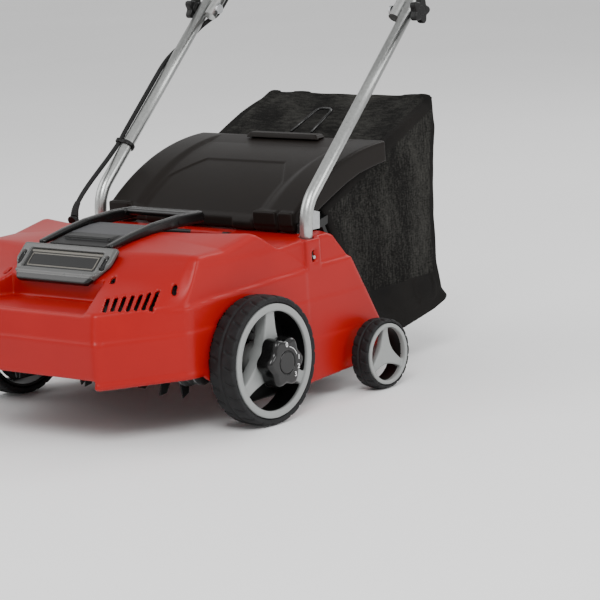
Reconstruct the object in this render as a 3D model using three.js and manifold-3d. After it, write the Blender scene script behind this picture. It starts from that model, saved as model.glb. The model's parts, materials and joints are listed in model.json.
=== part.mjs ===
// Electric lawn dethatcher (scarifier): a roller of steel blades under a plastic deck, driven by a
// motor and belt, on four wheels, with a hinged rear flap, a fabric catch bag and a folding handle.
// Units are millimetres. +Z is up, +Y points to the rear, +X to the side that carries the depth dial.
// Inside this file Y = 0 is the front axle and Z = 0 the ground; the group is shifted at the end.
import * as THREE from "three";
import { mergeVertices } from "three/addons/utils/BufferGeometryUtils.js";
import Module from "manifold-3d";

const wasm = await Module();
wasm.setup();

// ---------------------------------------------------------------- driving dimensions
const GAP = 0.4; // clearance between neighbouring pieces
const WALL = 4; // thickness of the plastic mouldings

const NOSE_Y = -262; // front of the deck
const DECK_REAR_Y = 336; // rear edge of the deck's side walls
const DECK_HALF = 238; // half the width of the deck
const SHELF_Z = 204; // height where the hood starts
const HOOD_TOP_Z = 287; // top of the motor hood
const REAR_DECK_Z = 262; // deck height around the flap hinge

const FRONT_TYRE_R = 100;
const FRONT_RIM_R = 88.7;
const FRONT_WHEEL_IN = 241; // inner face of the front wheels
const FRONT_WHEEL_OUT = 290; // outer face of the front wheels
const AXLE_R = 6;
const CRANK_THROW = 28; // offset between the front wheels and the pivot of their axle
const PIVOT_Z = FRONT_TYRE_R + CRANK_THROW;
const DIAL_OUT = 316; // outer face of the dial and of the hub cap

const REAR_AXLE_Y = 285;
const REAR_TYRE_R = 56.8;
const REAR_RIM_R = 49.8;
const REAR_WHEEL_IN = 251;
const REAR_WHEEL_OUT = 285;

const ROLLER_Y = -88;
const ROLLER_Z = 104;
const BLADE_R = 54; // reach of the blade tips
const SHAFT_R = 10;
const MOTOR_Y = -40;
const MOTOR_Z = 207;
const MOTOR_R = 54;
const MOTOR_PULLEY_R = 15;
const ROLLER_PULLEY_R = 24;
const BELT_IN = 208; // inner face of the belt
const BELT_OUT = 220; // outer face of the belt
const BELT_THICK = 4;

const FLAP_HALF = 200;
const HINGE_Y = 180;
const HINGE_Z = 275;
const PIN_R = 3;
const LUG_X = [-205.4, 200.6]; // where the deck's lugs carry the pin

const TUBE_R = 10.3;
const LOWER_TUBE_X = 222;
const UPPER_TUBE_X = LOWER_TUBE_X - 2 * TUBE_R - 0.9;
const TUBE_CORNER = [174.7, 309.9]; // where the upright foot of a tube meets its sloping length
const TUBE_ANGLE = THREE.MathUtils.degToRad(44.1);
const FOLD_AT = 400; // along the sloping length, from the corner to the fold bolt
const UPPER_LENGTH = 500; // from the fold bolt to the grip
const ALONG = [Math.cos(TUBE_ANGLE), Math.sin(TUBE_ANGLE)];
const ACROSS = [-Math.sin(TUBE_ANGLE), Math.cos(TUBE_ANGLE)];
const FOLD = onHandle(FOLD_AT, 0);
const GRIP = onHandle(FOLD_AT + UPPER_LENGTH, 0);
const GRIP_R = 13;

const BAG_HALF = 192;
const BAG_WALL = 4;
const CABLE_R = 3.3;

const REAR_MOST_Y = GRIP[0] + GRIP_R;
const CENTRE_Y = (REAR_MOST_Y + NOSE_Y) / 2;

// A point in the Y-Z plane, measured along the sloping handle and square to it.
function onHandle(along, across) {
  return [
    TUBE_CORNER[0] + along * Math.cos(TUBE_ANGLE) - across * Math.sin(TUBE_ANGLE),
    TUBE_CORNER[1] + along * Math.sin(TUBE_ANGLE) + across * Math.cos(TUBE_ANGLE),
  ];
}

// ---------------------------------------------------------------- solids
function solid(geometry) {
  const bare = geometry.index ? geometry.toNonIndexed() : geometry;
  const merged = mergeVertices(
    new THREE.BufferGeometry().setAttribute("position", bare.getAttribute("position")),
    1e-3,
  );
  return new wasm.Manifold(
    new wasm.Mesh({
      numProp: 3,
      vertProperties: merged.attributes.position.array,
      triVerts: new Uint32Array(merged.index.array),
    }),
  );
}

function geometryOf(body) {
  const mesh = body.getMesh();
  const geometry = new THREE.BufferGeometry();
  geometry.setAttribute("position", new THREE.BufferAttribute(mesh.vertProperties, 3));
  geometry.setIndex(new THREE.BufferAttribute(mesh.triVerts, 1));
  return geometry;
}

function union(...bodies) {
  return bodies.reduce((whole, body) => whole.add(body));
}

function cut(body, ...tools) {
  return tools.reduce((left, tool) => left.subtract(tool), body);
}

function extruded(points, length, holes = []) {
  const shape = new THREE.Shape(points.map(([u, v]) => new THREE.Vector2(u, v)));
  shape.holes = holes.map(
    (hole) => new THREE.Path(hole.map(([u, v]) => new THREE.Vector2(u, v))),
  );
  return new THREE.ExtrudeGeometry(shape, { depth: length, bevelEnabled: false });
}

// Outlines in the Y-Z plane run along X, outlines in the X-Y plane run up Z,
// and outlines in the X-Z plane run along Y.
function alongX(points, x0, x1, holes) {
  const geometry = extruded(points, x1 - x0, holes);
  const turn = new THREE.Matrix4().makeBasis(
    new THREE.Vector3(0, 1, 0),
    new THREE.Vector3(0, 0, 1),
    new THREE.Vector3(1, 0, 0),
  );
  return solid(geometry.applyMatrix4(turn).translate(x0, 0, 0));
}

function alongZ(points, z0, z1, holes) {
  return solid(extruded(points, z1 - z0, holes).translate(0, 0, z0));
}

function alongY(points, y0, y1, holes) {
  const geometry = extruded(points, y1 - y0, holes);
  const turn = new THREE.Matrix4().makeBasis(
    new THREE.Vector3(1, 0, 0),
    new THREE.Vector3(0, 0, 1),
    new THREE.Vector3(0, -1, 0),
  );
  return solid(geometry.applyMatrix4(turn).translate(0, y1, 0));
}

function block(x0, x1, y0, y1, z0, z1) {
  const geometry = new THREE.BoxGeometry(x1 - x0, y1 - y0, z1 - z0);
  return solid(geometry.translate((x0 + x1) / 2, (y0 + y1) / 2, (z0 + z1) / 2));
}

// A body of revolution about an axis parallel to X; the profile is [x, radius] pairs that
// close on themselves or on the axis.
function turned(profile, y, z, sides = 24) {
  const points = profile.map(([x, r]) => new THREE.Vector2(r, -x));
  const geometry = new THREE.LatheGeometry([...points, points[0]], sides);
  geometry.rotateZ(Math.PI / 2).translate(0, y, z);
  return solid(geometry);
}

function disc(x0, x1, radius, y, z, sides = 24) {
  return turned([[x0, 0], [x1, 0], [x1, radius], [x0, radius]], y, z, sides);
}

function ring(x0, x1, inner, outer, y, z, sides = 24) {
  return turned([[x0, inner], [x1, inner], [x1, outer], [x0, outer]], y, z, sides);
}

function mirrored(body) {
  return body.mirror([1, 0, 0]);
}

function circlePoints(radius, sides, cu = 0, cv = 0) {
  return Array.from({ length: sides }, (_, i) => {
    const a = (2 * Math.PI * i) / sides;
    return [cu + radius * Math.cos(a), cv + radius * Math.sin(a)];
  });
}

// A curve that passes through its stations one by one, so that a swept section turns at them.
class Route extends THREE.CatmullRomCurve3 {
  getSpacedPoints(count) {
    return this.getPoints(count);
  }
  getTangentAt(t, target) {
    return this.getTangent(t, target);
  }
}

function tube(stations, radius, sides = 12, closed = false) {
  const route = new Route(stations.map((p) => new THREE.Vector3(...p)), closed, "centripetal");
  const section = new THREE.Shape(
    circlePoints(radius, sides).map(([u, v]) => new THREE.Vector2(u, v)),
  );
  const steps = closed ? stations.length : stations.length - 1;
  return solid(new THREE.ExtrudeGeometry(section, { steps, extrudePath: route }));
}

// Points of an arc that rounds the corner b between a and c, starting `reach` before it.
function rounded(a, b, c, reach, steps = 5) {
  const corner = new THREE.Vector3(...b);
  const before = new THREE.Vector3(...a);
  const after = new THREE.Vector3(...c);
  const start = corner.clone().lerp(before, reach / corner.distanceTo(before));
  const end = corner.clone().lerp(after, reach / corner.distanceTo(after));
  const curve = new THREE.QuadraticBezierCurve3(start, corner, end);
  return curve.getPoints(steps).map((p) => p.toArray());
}

// Walks an outline inwards by `distance`; the outline runs anticlockwise.
function inset(points, distance) {
  const count = points.length;
  return points.map((point, i) => {
    const before = points[(i + count - 1) % count];
    const after = points[(i + 1) % count];
    const n1 = leftNormal(before, point);
    const n2 = leftNormal(point, after);
    const share = distance / (1 + n1[0] * n2[0] + n1[1] * n2[1]);
    return [point[0] + (n1[0] + n2[0]) * share, point[1] + (n1[1] + n2[1]) * share];
  });
}

function leftNormal(a, b) {
  const length = Math.hypot(b[0] - a[0], b[1] - a[1]);
  return [-(b[1] - a[1]) / length, (b[0] - a[0]) / length];
}

// Stacks outlines of equal point count at rising heights into one closed body.
function loft(levels) {
  const count = levels[0].points.length;
  const position = levels.flatMap(({ z, points }) => points.flatMap(([x, y]) => [x, y, z]));
  const index = [];
  for (let k = 0; k + 1 < levels.length; k++) {
    for (let i = 0; i < count; i++) {
      const j = (i + 1) % count;
      const a = k * count;
      const b = a + count;
      index.push(a + i, a + j, b + j, a + i, b + j, b + i);
    }
  }
  const caps = [levels[0], levels.at(-1)].map(({ points }) =>
    THREE.ShapeUtils.triangulateShape(points.map(([x, y]) => new THREE.Vector2(x, y)), []),
  );
  const top = (levels.length - 1) * count;
  caps[0].forEach(([a, b, c]) => index.push(c, b, a));
  caps[1].forEach(([a, b, c]) => index.push(top + a, top + b, top + c));
  const geometry = new THREE.BufferGeometry();
  geometry.setAttribute("position", new THREE.Float32BufferAttribute(position, 3));
  geometry.setIndex(index);
  return solid(geometry);
}

// ---------------------------------------------------------------- the scene
const root = new THREE.Group();

function material(color, roughness, metalness = 0) {
  return new THREE.MeshStandardMaterial({ color, roughness, metalness });
}

const RED = material(0xbd3029, 0.38);
const BLACK = material(0x1c1b1a, 0.6);
const HOOD_BLACK = material(0x2b2624, 0.62);
const GREY = material(0x6d6c70, 0.5);
const LIGHT_GREY = material(0xa0a4a2, 0.45);
const RUBBER = material(0x1a1a1a, 0.85);
const STEEL = material(0x9a9c9e, 0.35, 1);
const TUBE_METAL = material(0xa9adad, 0.35, 0.8);
const COPPER = material(0x6f6a63, 0.5, 0.6);
const FABRIC = material(0x222120, 0.95);

function add(name, body, look) {
  const mesh = new THREE.Mesh(geometryOf(body), look.clone());
  mesh.name = name;
  root.add(mesh);
}

// The same piece on both sides: `right` is on the +X side.
function addPair(name, body, look) {
  add(name + "_right", body, look);
  add(name + "_left", mirrored(body), look);
}

// ---------------------------------------------------------------- deck housing
// Plan outline of the deck at one height: a blunt nose, swept corners and straight sides.
function deckOutline(noseHalf, noseY, sideHalf, cornerY, rearHalf) {
  return [
    [-noseHalf, noseY],
    [noseHalf, noseY],
    [sideHalf, cornerY],
    [rearHalf, DECK_REAR_Y + 10],
    [-rearHalf, DECK_REAR_Y + 10],
    [-sideHalf, cornerY],
  ];
}

function deckLevels() {
  return [
    { z: 20, points: deckOutline(163, NOSE_Y, 238, -130, DECK_HALF) },
    { z: 110, points: deckOutline(163, NOSE_Y, 238, -130, DECK_HALF) },
    { z: 163, points: deckOutline(161, NOSE_Y + 2, 238, -130, DECK_HALF) },
    { z: SHELF_Z, points: deckOutline(155, -250, 237, -128, DECK_HALF) },
    { z: 236, points: deckOutline(104, -164, 235, -112, DECK_HALF) },
    { z: 272, points: deckOutline(94, -121, 231, -92, 237) },
    { z: 282, points: deckOutline(84, -70, 228, -60, 236) },
    { z: HOOD_TOP_Z + 3, points: deckOutline(70, -24, 224, -10, 235) },
  ];
}

// Side view of the deck: skirt, hood, the dip behind the hood, rear deck and sloping rear edge.
const DECK_SIDE = [
  [NOSE_Y - 8, 93],
  [-105, 92],
  [-84, 76],
  [-64, 46],
  [-44, 31],
  [147, 31],
  [250, 37],
  [322, 42],
  [DECK_REAR_Y, 60],
  [DECK_REAR_Y - 4, 100],
  [265, 216],
  [241, 244],
  [228, 259],
  [212, REAR_DECK_Z + 2],
  [160, REAR_DECK_Z],
  [90, 257.5],
  [42, HOOD_TOP_Z],
  [-6, HOOD_TOP_Z + 1],
  [-60, HOOD_TOP_Z + 1],
  [NOSE_Y - 8, HOOD_TOP_Z + 1],
];

function deckBlank(thinner) {
  const levels = deckLevels().map(({ z, points }) => ({ z, points: inset(points, thinner) }));
  levels[0].z -= 30;
  levels.at(-1).z -= thinner * 0.5;
  const side = alongX(inset(DECK_SIDE, thinner), -300, 300);
  return loft(levels).intersect(side);
}

function deckHousing() {
  const inside = deckBlank(WALL);
  let deck = cut(deckBlank(0), inside, inside.translate([0, 0, -12]));
  // the shelf in front of the hood, under the bezel
  const niche = alongZ([[-150, NOSE_Y - 10], [150, NOSE_Y - 10], [98, -162], [-98, -162]], SHELF_Z, 236);
  const nicheWall = alongZ([[-144, -254], [144, -254], [96, -158], [-96, -158]], SHELF_Z - WALL, SHELF_Z);
  const nicheBack = alongZ([[-99, -162], [99, -162], [97, -157], [-97, -157]], SHELF_Z - WALL, 240);
  deck = union(cut(deck, niche), nicheWall, nicheBack.intersect(deckBlank(0)));
  // openings: motor well under the cover, hand recess behind it, and the throw-out to the bag
  deck = cut(deck, block(-50, 50, -96, -22, 240, 300));
  deck = union(deck, handRecess());
  deck = cut(deck, handRecessHollow());
  deck = cut(deck, block(-184, 184, 190, 360, 100, 236));
  // lugs that carry the flap pin
  for (const x of LUG_X) {
    deck = union(deck, flapLug(x));
  }
  // sockets for the handle tubes, holes for axles, roller bearings and screws
  deck = union(deck, tubeSocket(), mirrored(tubeSocket()));
  deck = cut(deck, tubeBore(), mirrored(tubeBore()));
  deck = cut(deck, disc(-250, 250, 14 + GAP, 0, PIVOT_Z));
  deck = cut(deck, disc(-250, 250, AXLE_R + GAP, REAR_AXLE_Y, REAR_TYRE_R, 16));
  deck = cut(deck, disc(-250, -230, SHAFT_R + 2, ROLLER_Y, ROLLER_Z, 16));
  deck = cut(deck, disc(225, 250, 3.4, 172, 229, 12), disc(-250, -225, 3.4, 172, 229, 12));
  return cut(deck, ...ventSlots(), ...ventSlots().map(mirrored));
}

function handRecess() {
  return block(-80, 80, 12, 158, 236, 256).intersect(deckBlank(0));
}

function handRecessHollow() {
  return block(-76, 76, 16, 154, 240, 300);
}

function flapLug(x) {
  const lug = alongX(
    [
      [HINGE_Y - 7, REAR_DECK_Z - 2],
      [HINGE_Y + 9, REAR_DECK_Z - 2],
      [HINGE_Y + 6, HINGE_Z + 5],
      [HINGE_Y - 6, HINGE_Z + 5],
    ],
    x,
    x + 4.8,
  );
  return cut(lug, disc(x - 1, x + 6, PIN_R + GAP, HINGE_Y, HINGE_Z, 12));
}

function tubeSocket() {
  return block(LOWER_TUBE_X - 16, DECK_HALF - 2, 152, 188, 208, REAR_DECK_Z - 3);
}

// The hole that the foot of a handle tube stands in, open at the top.
function tubeBore() {
  const foot = footPoint(214);
  const top = footPoint(300);
  return tube([[LOWER_TUBE_X, ...foot], [LOWER_TUBE_X, ...top]], TUBE_R + GAP + 0.3, 16);
}

// The upright foot of a handle tube leans back slightly.
function footPoint(z) {
  return [TUBE_CORNER[0] + (z - TUBE_CORNER[1]) * 0.085, z];
}

// Seven slanted cooling slots in the front of the hood, beside the bezel.
function ventSlots() {
  return Array.from({ length: 7 }, (_, i) => {
    const x = 132 + i * 11.5;
    const y = -262 + i * 14;
    const slot = block(-2.6, 2.6, -40, 60, -11, 11);
    return slot.rotate([0, 18, -40]).translate([x, y, 221]);
  });
}

add("deck_housing", deckHousing(), RED);

// ---------------------------------------------------------------- hood trim
// Lid over the motor well, following the top of the hood, with a hollow plug below it.
function motorCover() {
  const top = [[-114, 276], [-70, 284], [-24, 290], [0, 290.5]];
  const under = top.map(([y, z]) => [y, z + 1.5]);
  const over = top.map(([y, z]) => [y, z + 5]).reverse();
  const lid = cut(alongX([...under, ...over], -62, 62), deckBlank(-GAP));
  const plug = block(-48, 48, -94, -24, 262, 286);
  const hollow = block(-44, 44, -90, -28, 250, 281);
  return cut(union(lid, plug), hollow);
}

function frontBezel() {
  const frame = alongX([[-166, 234.5], [-172, 241], [-127, 281], [-122, 278], [-122, 275]], -100, 100);
  const recess = alongX([[-176, 247], [-159.6, 248], [-133.5, 272.5], [-138, 281]], -78, 78);
  const screwWell = disc(-6, 6, 7, 0, 0, 12).rotate([0, 90, 0]).scale([0.55, 1, 1.6]);
  const placed = screwWell.rotate([40, 0, 0]);
  return cut(frame, recess, placed.translate([88, -151, 263]), placed.translate([-88, -151, 263]));
}

function badgePlate() {
  return alongX([[-158.8, 249.4], [-134.9, 271.8], [-136.7, 273.7], [-160.6, 251.2]], -76, 76);
}

add("motor_cover", motorCover(), GREY);
add("front_bezel", cut(frontBezel(), deckBlank(-0.5)), LIGHT_GREY);
add("badge_plate", cut(badgePlate(), deckBlank(-0.5)), BLACK);

// Carrying handle: two side rails over the hood, joined behind it by a cross bar.
function carryRail() {
  const rail = alongX(
    [
      [-121.5, 279.5],
      [-70, 285.8],
      [-24, 292.6],
      [3, 293.6],
      [60, 296],
      [95, 293],
      [98, 300],
      [92, 306],
      [40, 307],
      [-20, 303],
      [-70, 295],
      [-121.5, 284.5],
    ],
    66,
    78,
  );
  return cut(rail, deckBlank(-GAP));
}

function carryHandle() {
  const bar = alongX([[68, 297], [95, 295], [98, 300], [92, 306], [72, 306], [66, 302]], -70, 70);
  const foot = block(66, 78, 20, 34, 288.2, 298);
  return union(carryRail(), mirrored(carryRail()), bar, foot, mirrored(foot));
}

add("carry_handle", carryHandle(), BLACK);

// ---------------------------------------------------------------- motor and belt drive
function motorBody() {
  const can = turned(
    [[24, 14], [186, 14], [186, 46], [160, 46], [150, MOTOR_R], [32, MOTOR_R], [24, 44]],
    MOTOR_Y,
    MOTOR_Z,
    20,
  );
  const band = ring(80, 104, MOTOR_R - 3, MOTOR_R + 2, MOTOR_Y, MOTOR_Z, 20);
  return union(can, band);
}

// The rotor and its shaft, which carries the fan at one end and the belt pulley at the other.
function motorRotor() {
  return union(disc(40, 150, 13.4, MOTOR_Y, MOTOR_Z, 16), disc(0, 224, 5, MOTOR_Y, MOTOR_Z, 12));
}

function coolingFan() {
  let fan = ring(2, 7, 5 + GAP, 40, MOTOR_Y, MOTOR_Z, 20);
  for (let i = 0; i < 8; i++) {
    const vane = block(6, 18, 12, 39, -1.5, 1.5).rotate([i * 45, 0, 0]);
    fan = union(fan, vane.translate([0, MOTOR_Y, MOTOR_Z]));
  }
  return fan;
}

function pulley(bore, radius, y, z) {
  const rim = radius + BELT_THICK + 2;
  const profile = [
    [BELT_IN - 3, bore],
    [BELT_OUT + 3, bore],
    [BELT_OUT + 3, rim],
    [BELT_OUT + 1, rim],
    [BELT_OUT + 1, radius],
    [BELT_IN - 1, radius],
    [BELT_IN - 1, rim],
    [BELT_IN - 3, rim],
  ];
  return turned(profile, y, z, 16);
}

// The belt is the outer tangent loop around both pulleys.
function beltLoop(margin) {
  const dy = MOTOR_Y - ROLLER_Y;
  const dz = MOTOR_Z - ROLLER_Z;
  const span = Math.hypot(dy, dz);
  const heading = Math.atan2(dz, dy);
  const lean = Math.acos((ROLLER_PULLEY_R - MOTOR_PULLEY_R) / span);
  const arc = (cy, cz, r, from, to) =>
    Array.from({ length: 9 }, (_, i) => {
      const a = from + ((to - from) * i) / 8;
      return [cy + (r + margin) * Math.cos(a), cz + (r + margin) * Math.sin(a)];
    });
  return [
    ...arc(ROLLER_Y, ROLLER_Z, ROLLER_PULLEY_R, heading + lean, heading - lean + 2 * Math.PI),
    ...arc(MOTOR_Y, MOTOR_Z, MOTOR_PULLEY_R, heading - lean, heading + lean),
  ];
}

function driveBelt() {
  return alongX(beltLoop(BELT_THICK), BELT_IN, BELT_OUT, [beltLoop(GAP)]);
}

// Steel plate that carries the motor's nose and the roller's right bearing.
function drivePlate() {
  const plate = alongX(plateOutline(), 191, 195);
  return cut(
    plate,
    disc(185, 200, 10, MOTOR_Y, MOTOR_Z, 16),
    disc(185, 200, 20 + GAP, ROLLER_Y, ROLLER_Z, 20),
  );
}

function plateOutline() {
  const low = circlePoints(34, 20, ROLLER_Y, ROLLER_Z).slice(10);
  const high = circlePoints(44, 20, MOTOR_Y, MOTOR_Z).slice(0, 10);
  return [...low, ...high];
}

add("motor_body", motorBody(), GREY);
add("motor_rotor", motorRotor(), COPPER);
add("cooling_fan", coolingFan(), BLACK);
add("motor_pulley", pulley(5 + GAP, MOTOR_PULLEY_R - GAP, MOTOR_Y, MOTOR_Z), STEEL);
add("drive_belt", driveBelt(), RUBBER);
add("roller_pulley", pulley(SHAFT_R + GAP, ROLLER_PULLEY_R - GAP, ROLLER_Y, ROLLER_Z), STEEL);
add("drive_plate", drivePlate(), STEEL);

// ---------------------------------------------------------------- blade roller
function bladeOutline(turn) {
  const arms = 3;
  return Array.from({ length: arms }, (_, k) => {
    const a = turn + (2 * Math.PI * k) / arms;
    const at = (r, da) => [r * Math.cos(a + da), r * Math.sin(a + da)];
    return [at(18, -0.7), at(BLADE_R, -0.2), at(BLADE_R - 6, 0.06), at(28, 0.34)];
  }).flat();
}

function bladePack() {
  const count = 7;
  let pack = disc(6, 184, 15, 0, 0, 16);
  for (let i = 0; i < count; i++) {
    const x = 10 + (i * 168) / (count - 1);
    pack = union(pack, alongX(bladeOutline(0.35 + i * 0.4), x, x + 2.6));
  }
  return cut(pack.translate([0, ROLLER_Y, ROLLER_Z]), disc(0, 190, SHAFT_R + GAP, ROLLER_Y, ROLLER_Z, 20));
}

add("roller_shaft", disc(-233, 226, SHAFT_R, ROLLER_Y, ROLLER_Z, 20), STEEL);
addPair("blade_pack", bladePack(), STEEL);
add("roller_bearing_right", ring(190.4, 202, SHAFT_R + GAP, 20, ROLLER_Y, ROLLER_Z, 20), STEEL);
add("roller_bearing_left", ring(-233, -221, SHAFT_R + GAP, 20, ROLLER_Y, ROLLER_Z, 20), STEEL);

// ---------------------------------------------------------------- wheels, axles and depth dial
// A tyre with many flat faces round its tread, one of them lying flat on the ground.
function tyre(inner, outer, tyreR, rimR, y, z) {
  const sides = 32;
  const halfFace = Math.PI / sides;
  const treadR = tyreR / Math.cos(halfFace);
  const shoulder = 6;
  const profile = [
    [inner, rimR],
    [outer, rimR],
    [outer, treadR - shoulder],
    [outer - shoulder, treadR],
    [inner + shoulder, treadR],
    [inner, treadR - shoulder],
  ];
  const upright = turned(profile, 0, 0, sides);
  return upright.rotate([THREE.MathUtils.radToDeg(halfFace), 0, 0]).translate([0, y, z]);
}

// Three-spoke wheel: a band under the tyre, a hub and spokes that widen towards the hub.
function wheelRim({ inner, outer, rimR, hubR, boreR, spokeHalf, collarFrom, y, z }) {
  const bandR = rimR * 0.87;
  let rim = ring(inner + 1, outer + 0.6, bandR, rimR - 2 * GAP, 0, 0, 32);
  rim = union(rim, ring(inner + 4, outer - 8, boreR, hubR, 0, 0, 20));
  rim = union(rim, ring(collarFrom, inner + 5, boreR, boreR + 5, 0, 0, 20));
  const spoke = alongX(
    [
      [-spokeHalf * 1.7, hubR * 0.5],
      [spokeHalf * 1.7, hubR * 0.5],
      [spokeHalf, rimR * 0.6],
      [spokeHalf, rimR * 0.93],
      [-spokeHalf, rimR * 0.93],
      [-spokeHalf, rimR * 0.6],
    ],
    outer - 26,
    outer - 9,
  );
  for (const turn of [0, 120, 240]) {
    rim = union(rim, spoke.rotate([turn, 0, 0]));
  }
  return cut(rim, disc(inner - 20, outer + 2, boreR, 0, 0, 20)).translate([0, y, z]);
}

addPair(
  "front_tyre",
  tyre(FRONT_WHEEL_IN, FRONT_WHEEL_OUT, FRONT_TYRE_R, FRONT_RIM_R, 0, FRONT_TYRE_R),
  RUBBER,
);
addPair(
  "front_rim",
  wheelRim({
    inner: FRONT_WHEEL_IN,
    outer: FRONT_WHEEL_OUT,
    rimR: FRONT_RIM_R,
    hubR: 30,
    boreR: AXLE_R + 2 + GAP,
    spokeHalf: 9,
    collarFrom: FRONT_WHEEL_IN + 4,
    y: 0,
    z: FRONT_TYRE_R,
  }),
  LIGHT_GREY,
);
addPair(
  "rear_tyre",
  tyre(REAR_WHEEL_IN, REAR_WHEEL_OUT, REAR_TYRE_R, REAR_RIM_R, REAR_AXLE_Y, REAR_TYRE_R),
  RUBBER,
);
addPair(
  "rear_rim",
  wheelRim({
    inner: REAR_WHEEL_IN,
    outer: REAR_WHEEL_OUT,
    rimR: REAR_RIM_R,
    hubR: 16,
    boreR: AXLE_R + GAP,
    spokeHalf: 6,
    collarFrom: DECK_HALF + 1,
    y: REAR_AXLE_Y,
    z: REAR_TYRE_R,
  }),
  LIGHT_GREY,
);

// Cranked front axle: a straight rod across the deck, a crank plate and a wheel stub at each end.
function frontAxle() {
  const rod = disc(-240, 240, AXLE_R, 0, PIVOT_Z, 16);
  const upper = circlePoints(12, 12, 0, PIVOT_Z).slice(0, 7);
  const lower = circlePoints(12, 12, 0, FRONT_TYRE_R).slice(6);
  const crank = alongX(
    [...upper, ...lower, [12, FRONT_TYRE_R]],
    238.6,
    FRONT_WHEEL_IN + 3.5,
  );
  const stub = disc(240, DIAL_OUT - 8, AXLE_R + 2, 0, FRONT_TYRE_R, 16);
  return union(rod, crank, mirrored(crank), stub, mirrored(stub));
}

add("front_axle", frontAxle(), STEEL);
addPair("axle_bush", ring(231, 238.2, AXLE_R + GAP, 14, 0, PIVOT_Z, 20), BLACK);
add("rear_axle", disc(-REAR_WHEEL_OUT + 6, REAR_WHEEL_OUT - 6, AXLE_R, REAR_AXLE_Y, REAR_TYRE_R, 16), STEEL);

// Six-lobed adjusting dial with a recessed cap.
function depthDial() {
  const lobes = 6;
  const outline = Array.from({ length: 48 }, (_, i) => {
    const a = (2 * Math.PI * i) / 48;
    const r = 38.5 + 3.2 * Math.cos(lobes * a);
    return [r * Math.cos(a), FRONT_TYRE_R + r * Math.sin(a)];
  });
  const body = alongX(outline, FRONT_WHEEL_OUT - 6, DIAL_OUT - 1);
  const seat = disc(DIAL_OUT - 4, DIAL_OUT + 1, 16, 0, FRONT_TYRE_R, 24);
  return cut(body, seat, disc(FRONT_WHEEL_OUT - 10, DIAL_OUT - 7.6, AXLE_R + 2 + GAP, 0, FRONT_TYRE_R, 20));
}

function hubCap() {
  const dome = turned(
    [
      [-FRONT_WHEEL_OUT + 6, 0],
      [-FRONT_WHEEL_OUT + 6, 34],
      [-DIAL_OUT + 6, 30],
      [-DIAL_OUT, 24],
      [-DIAL_OUT, 0],
    ],
    0,
    FRONT_TYRE_R,
    24,
  );
  return cut(dome, disc(-DIAL_OUT + 7.6, -280, AXLE_R + 2 + GAP, 0, FRONT_TYRE_R, 20));
}

add("depth_dial", depthDial(), BLACK);
add("dial_cap", disc(DIAL_OUT - 3.6, DIAL_OUT, 15.5, 0, FRONT_TYRE_R, 24), BLACK);
add("hub_cap", hubCap(), BLACK);

// ---------------------------------------------------------------- rear flap
// Side view of the flap's outer skin, from its foot at the hinge to its rear lip.
function flapSkin(offset) {
  const curve = new THREE.QuadraticBezierCurve(
    new THREE.Vector2(173, 291),
    new THREE.Vector2(277, 374),
    new THREE.Vector2(412, 377),
  );
  return Array.from({ length: 9 }, (_, i) => {
    const p = curve.getPoint(i / 8);
    const t = curve.getTangent(i / 8);
    return [p.x + t.y * offset, p.y - t.x * offset];
  });
}

function rearFlap() {
  const skin = 3;
  const shell = alongX(
    [[171, 268], [174, 268], ...flapSkin(skin), ...flapSkin(0).reverse()],
    -FLAP_HALF,
    FLAP_HALF,
  );
  const flange = alongX(
    [
      [171, 268],
      [192, 271],
      [240, 296],
      [273, 311],
      [307, 325],
      [340, 336],
      [374, 342],
      [409, 346],
      ...flapSkin(0.5).reverse(),
    ],
    FLAP_HALF - 3,
    FLAP_HALF,
  );
  let flap = union(shell, flange, mirrored(flange));
  // side panels stand proud of the middle
  const raised = alongX([...flapSkin(0.4), ...flapSkin(-5).slice(1).reverse()], 140, FLAP_HALF);
  flap = union(flap, raised, mirrored(raised));
  for (const x of [-150, -30, 100, 150]) {
    flap = union(flap, flapKnuckle(x));
  }
  return cut(flap, disc(-210, 210, PIN_R + GAP, HINGE_Y, HINGE_Z, 12));
}

function flapKnuckle(x) {
  return alongX([[171, 268], [187, 268], [187, 297], [173, 291]], x, x + 26);
}

add("rear_flap", rearFlap(), HOOD_BLACK);
add("flap_hinge_pin", disc(-204, 204, PIN_R, HINGE_Y, HINGE_Z, 12), STEEL);

function flapGrip() {
  return alongY([[-80, 378.2], [80, 378.2], [74, 389], [-74, 389]], 385, 407);
}

add("flap_grip", cut(flapGrip(), rearFlap().translate([0, 0, GAP])), HOOD_BLACK);

// Torsion spring around the hinge pin.
function flapSpring() {
  const turns = 4;
  const stations = Array.from({ length: turns * 7 + 1 }, (_, i) => {
    const a = (2 * Math.PI * i) / 7;
    return [12 + i * 0.6, HINGE_Y + 4.7 * Math.cos(a), HINGE_Z + 4.7 * Math.sin(a)];
  });
  return tube(stations, 0.8, 5);
}

add("flap_spring", flapSpring(), STEEL);

// ---------------------------------------------------------------- catch bag
// Side view of the bag, from under the flap, up its sloping top, down its back and along its floor.
const BAG_SIDE = [
  [250, 292],
  [344, 110],
  [350, 84],
  [400, 60],
  [456, 60],
  [540, 78],
  [572, 88],
  [580, 96],
  [564, 112],
  [554, 160],
  [551, 240],
  [557, 330],
  [567, 396],
  [577, 436],
  [572, 440],
];

function bagFabric() {
  const outer = alongX(BAG_SIDE, -BAG_HALF, BAG_HALF);
  const hollow = alongX(inset(BAG_SIDE, BAG_WALL), -BAG_HALF + BAG_WALL, BAG_HALF - BAG_WALL);
  const inside = BAG_HALF - BAG_WALL;
  const mouth = alongX([[225, 292], [319, 110], [366, 122], [272, 288]], -inside, inside);
  return cut(outer, hollow, mouth);
}

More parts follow.
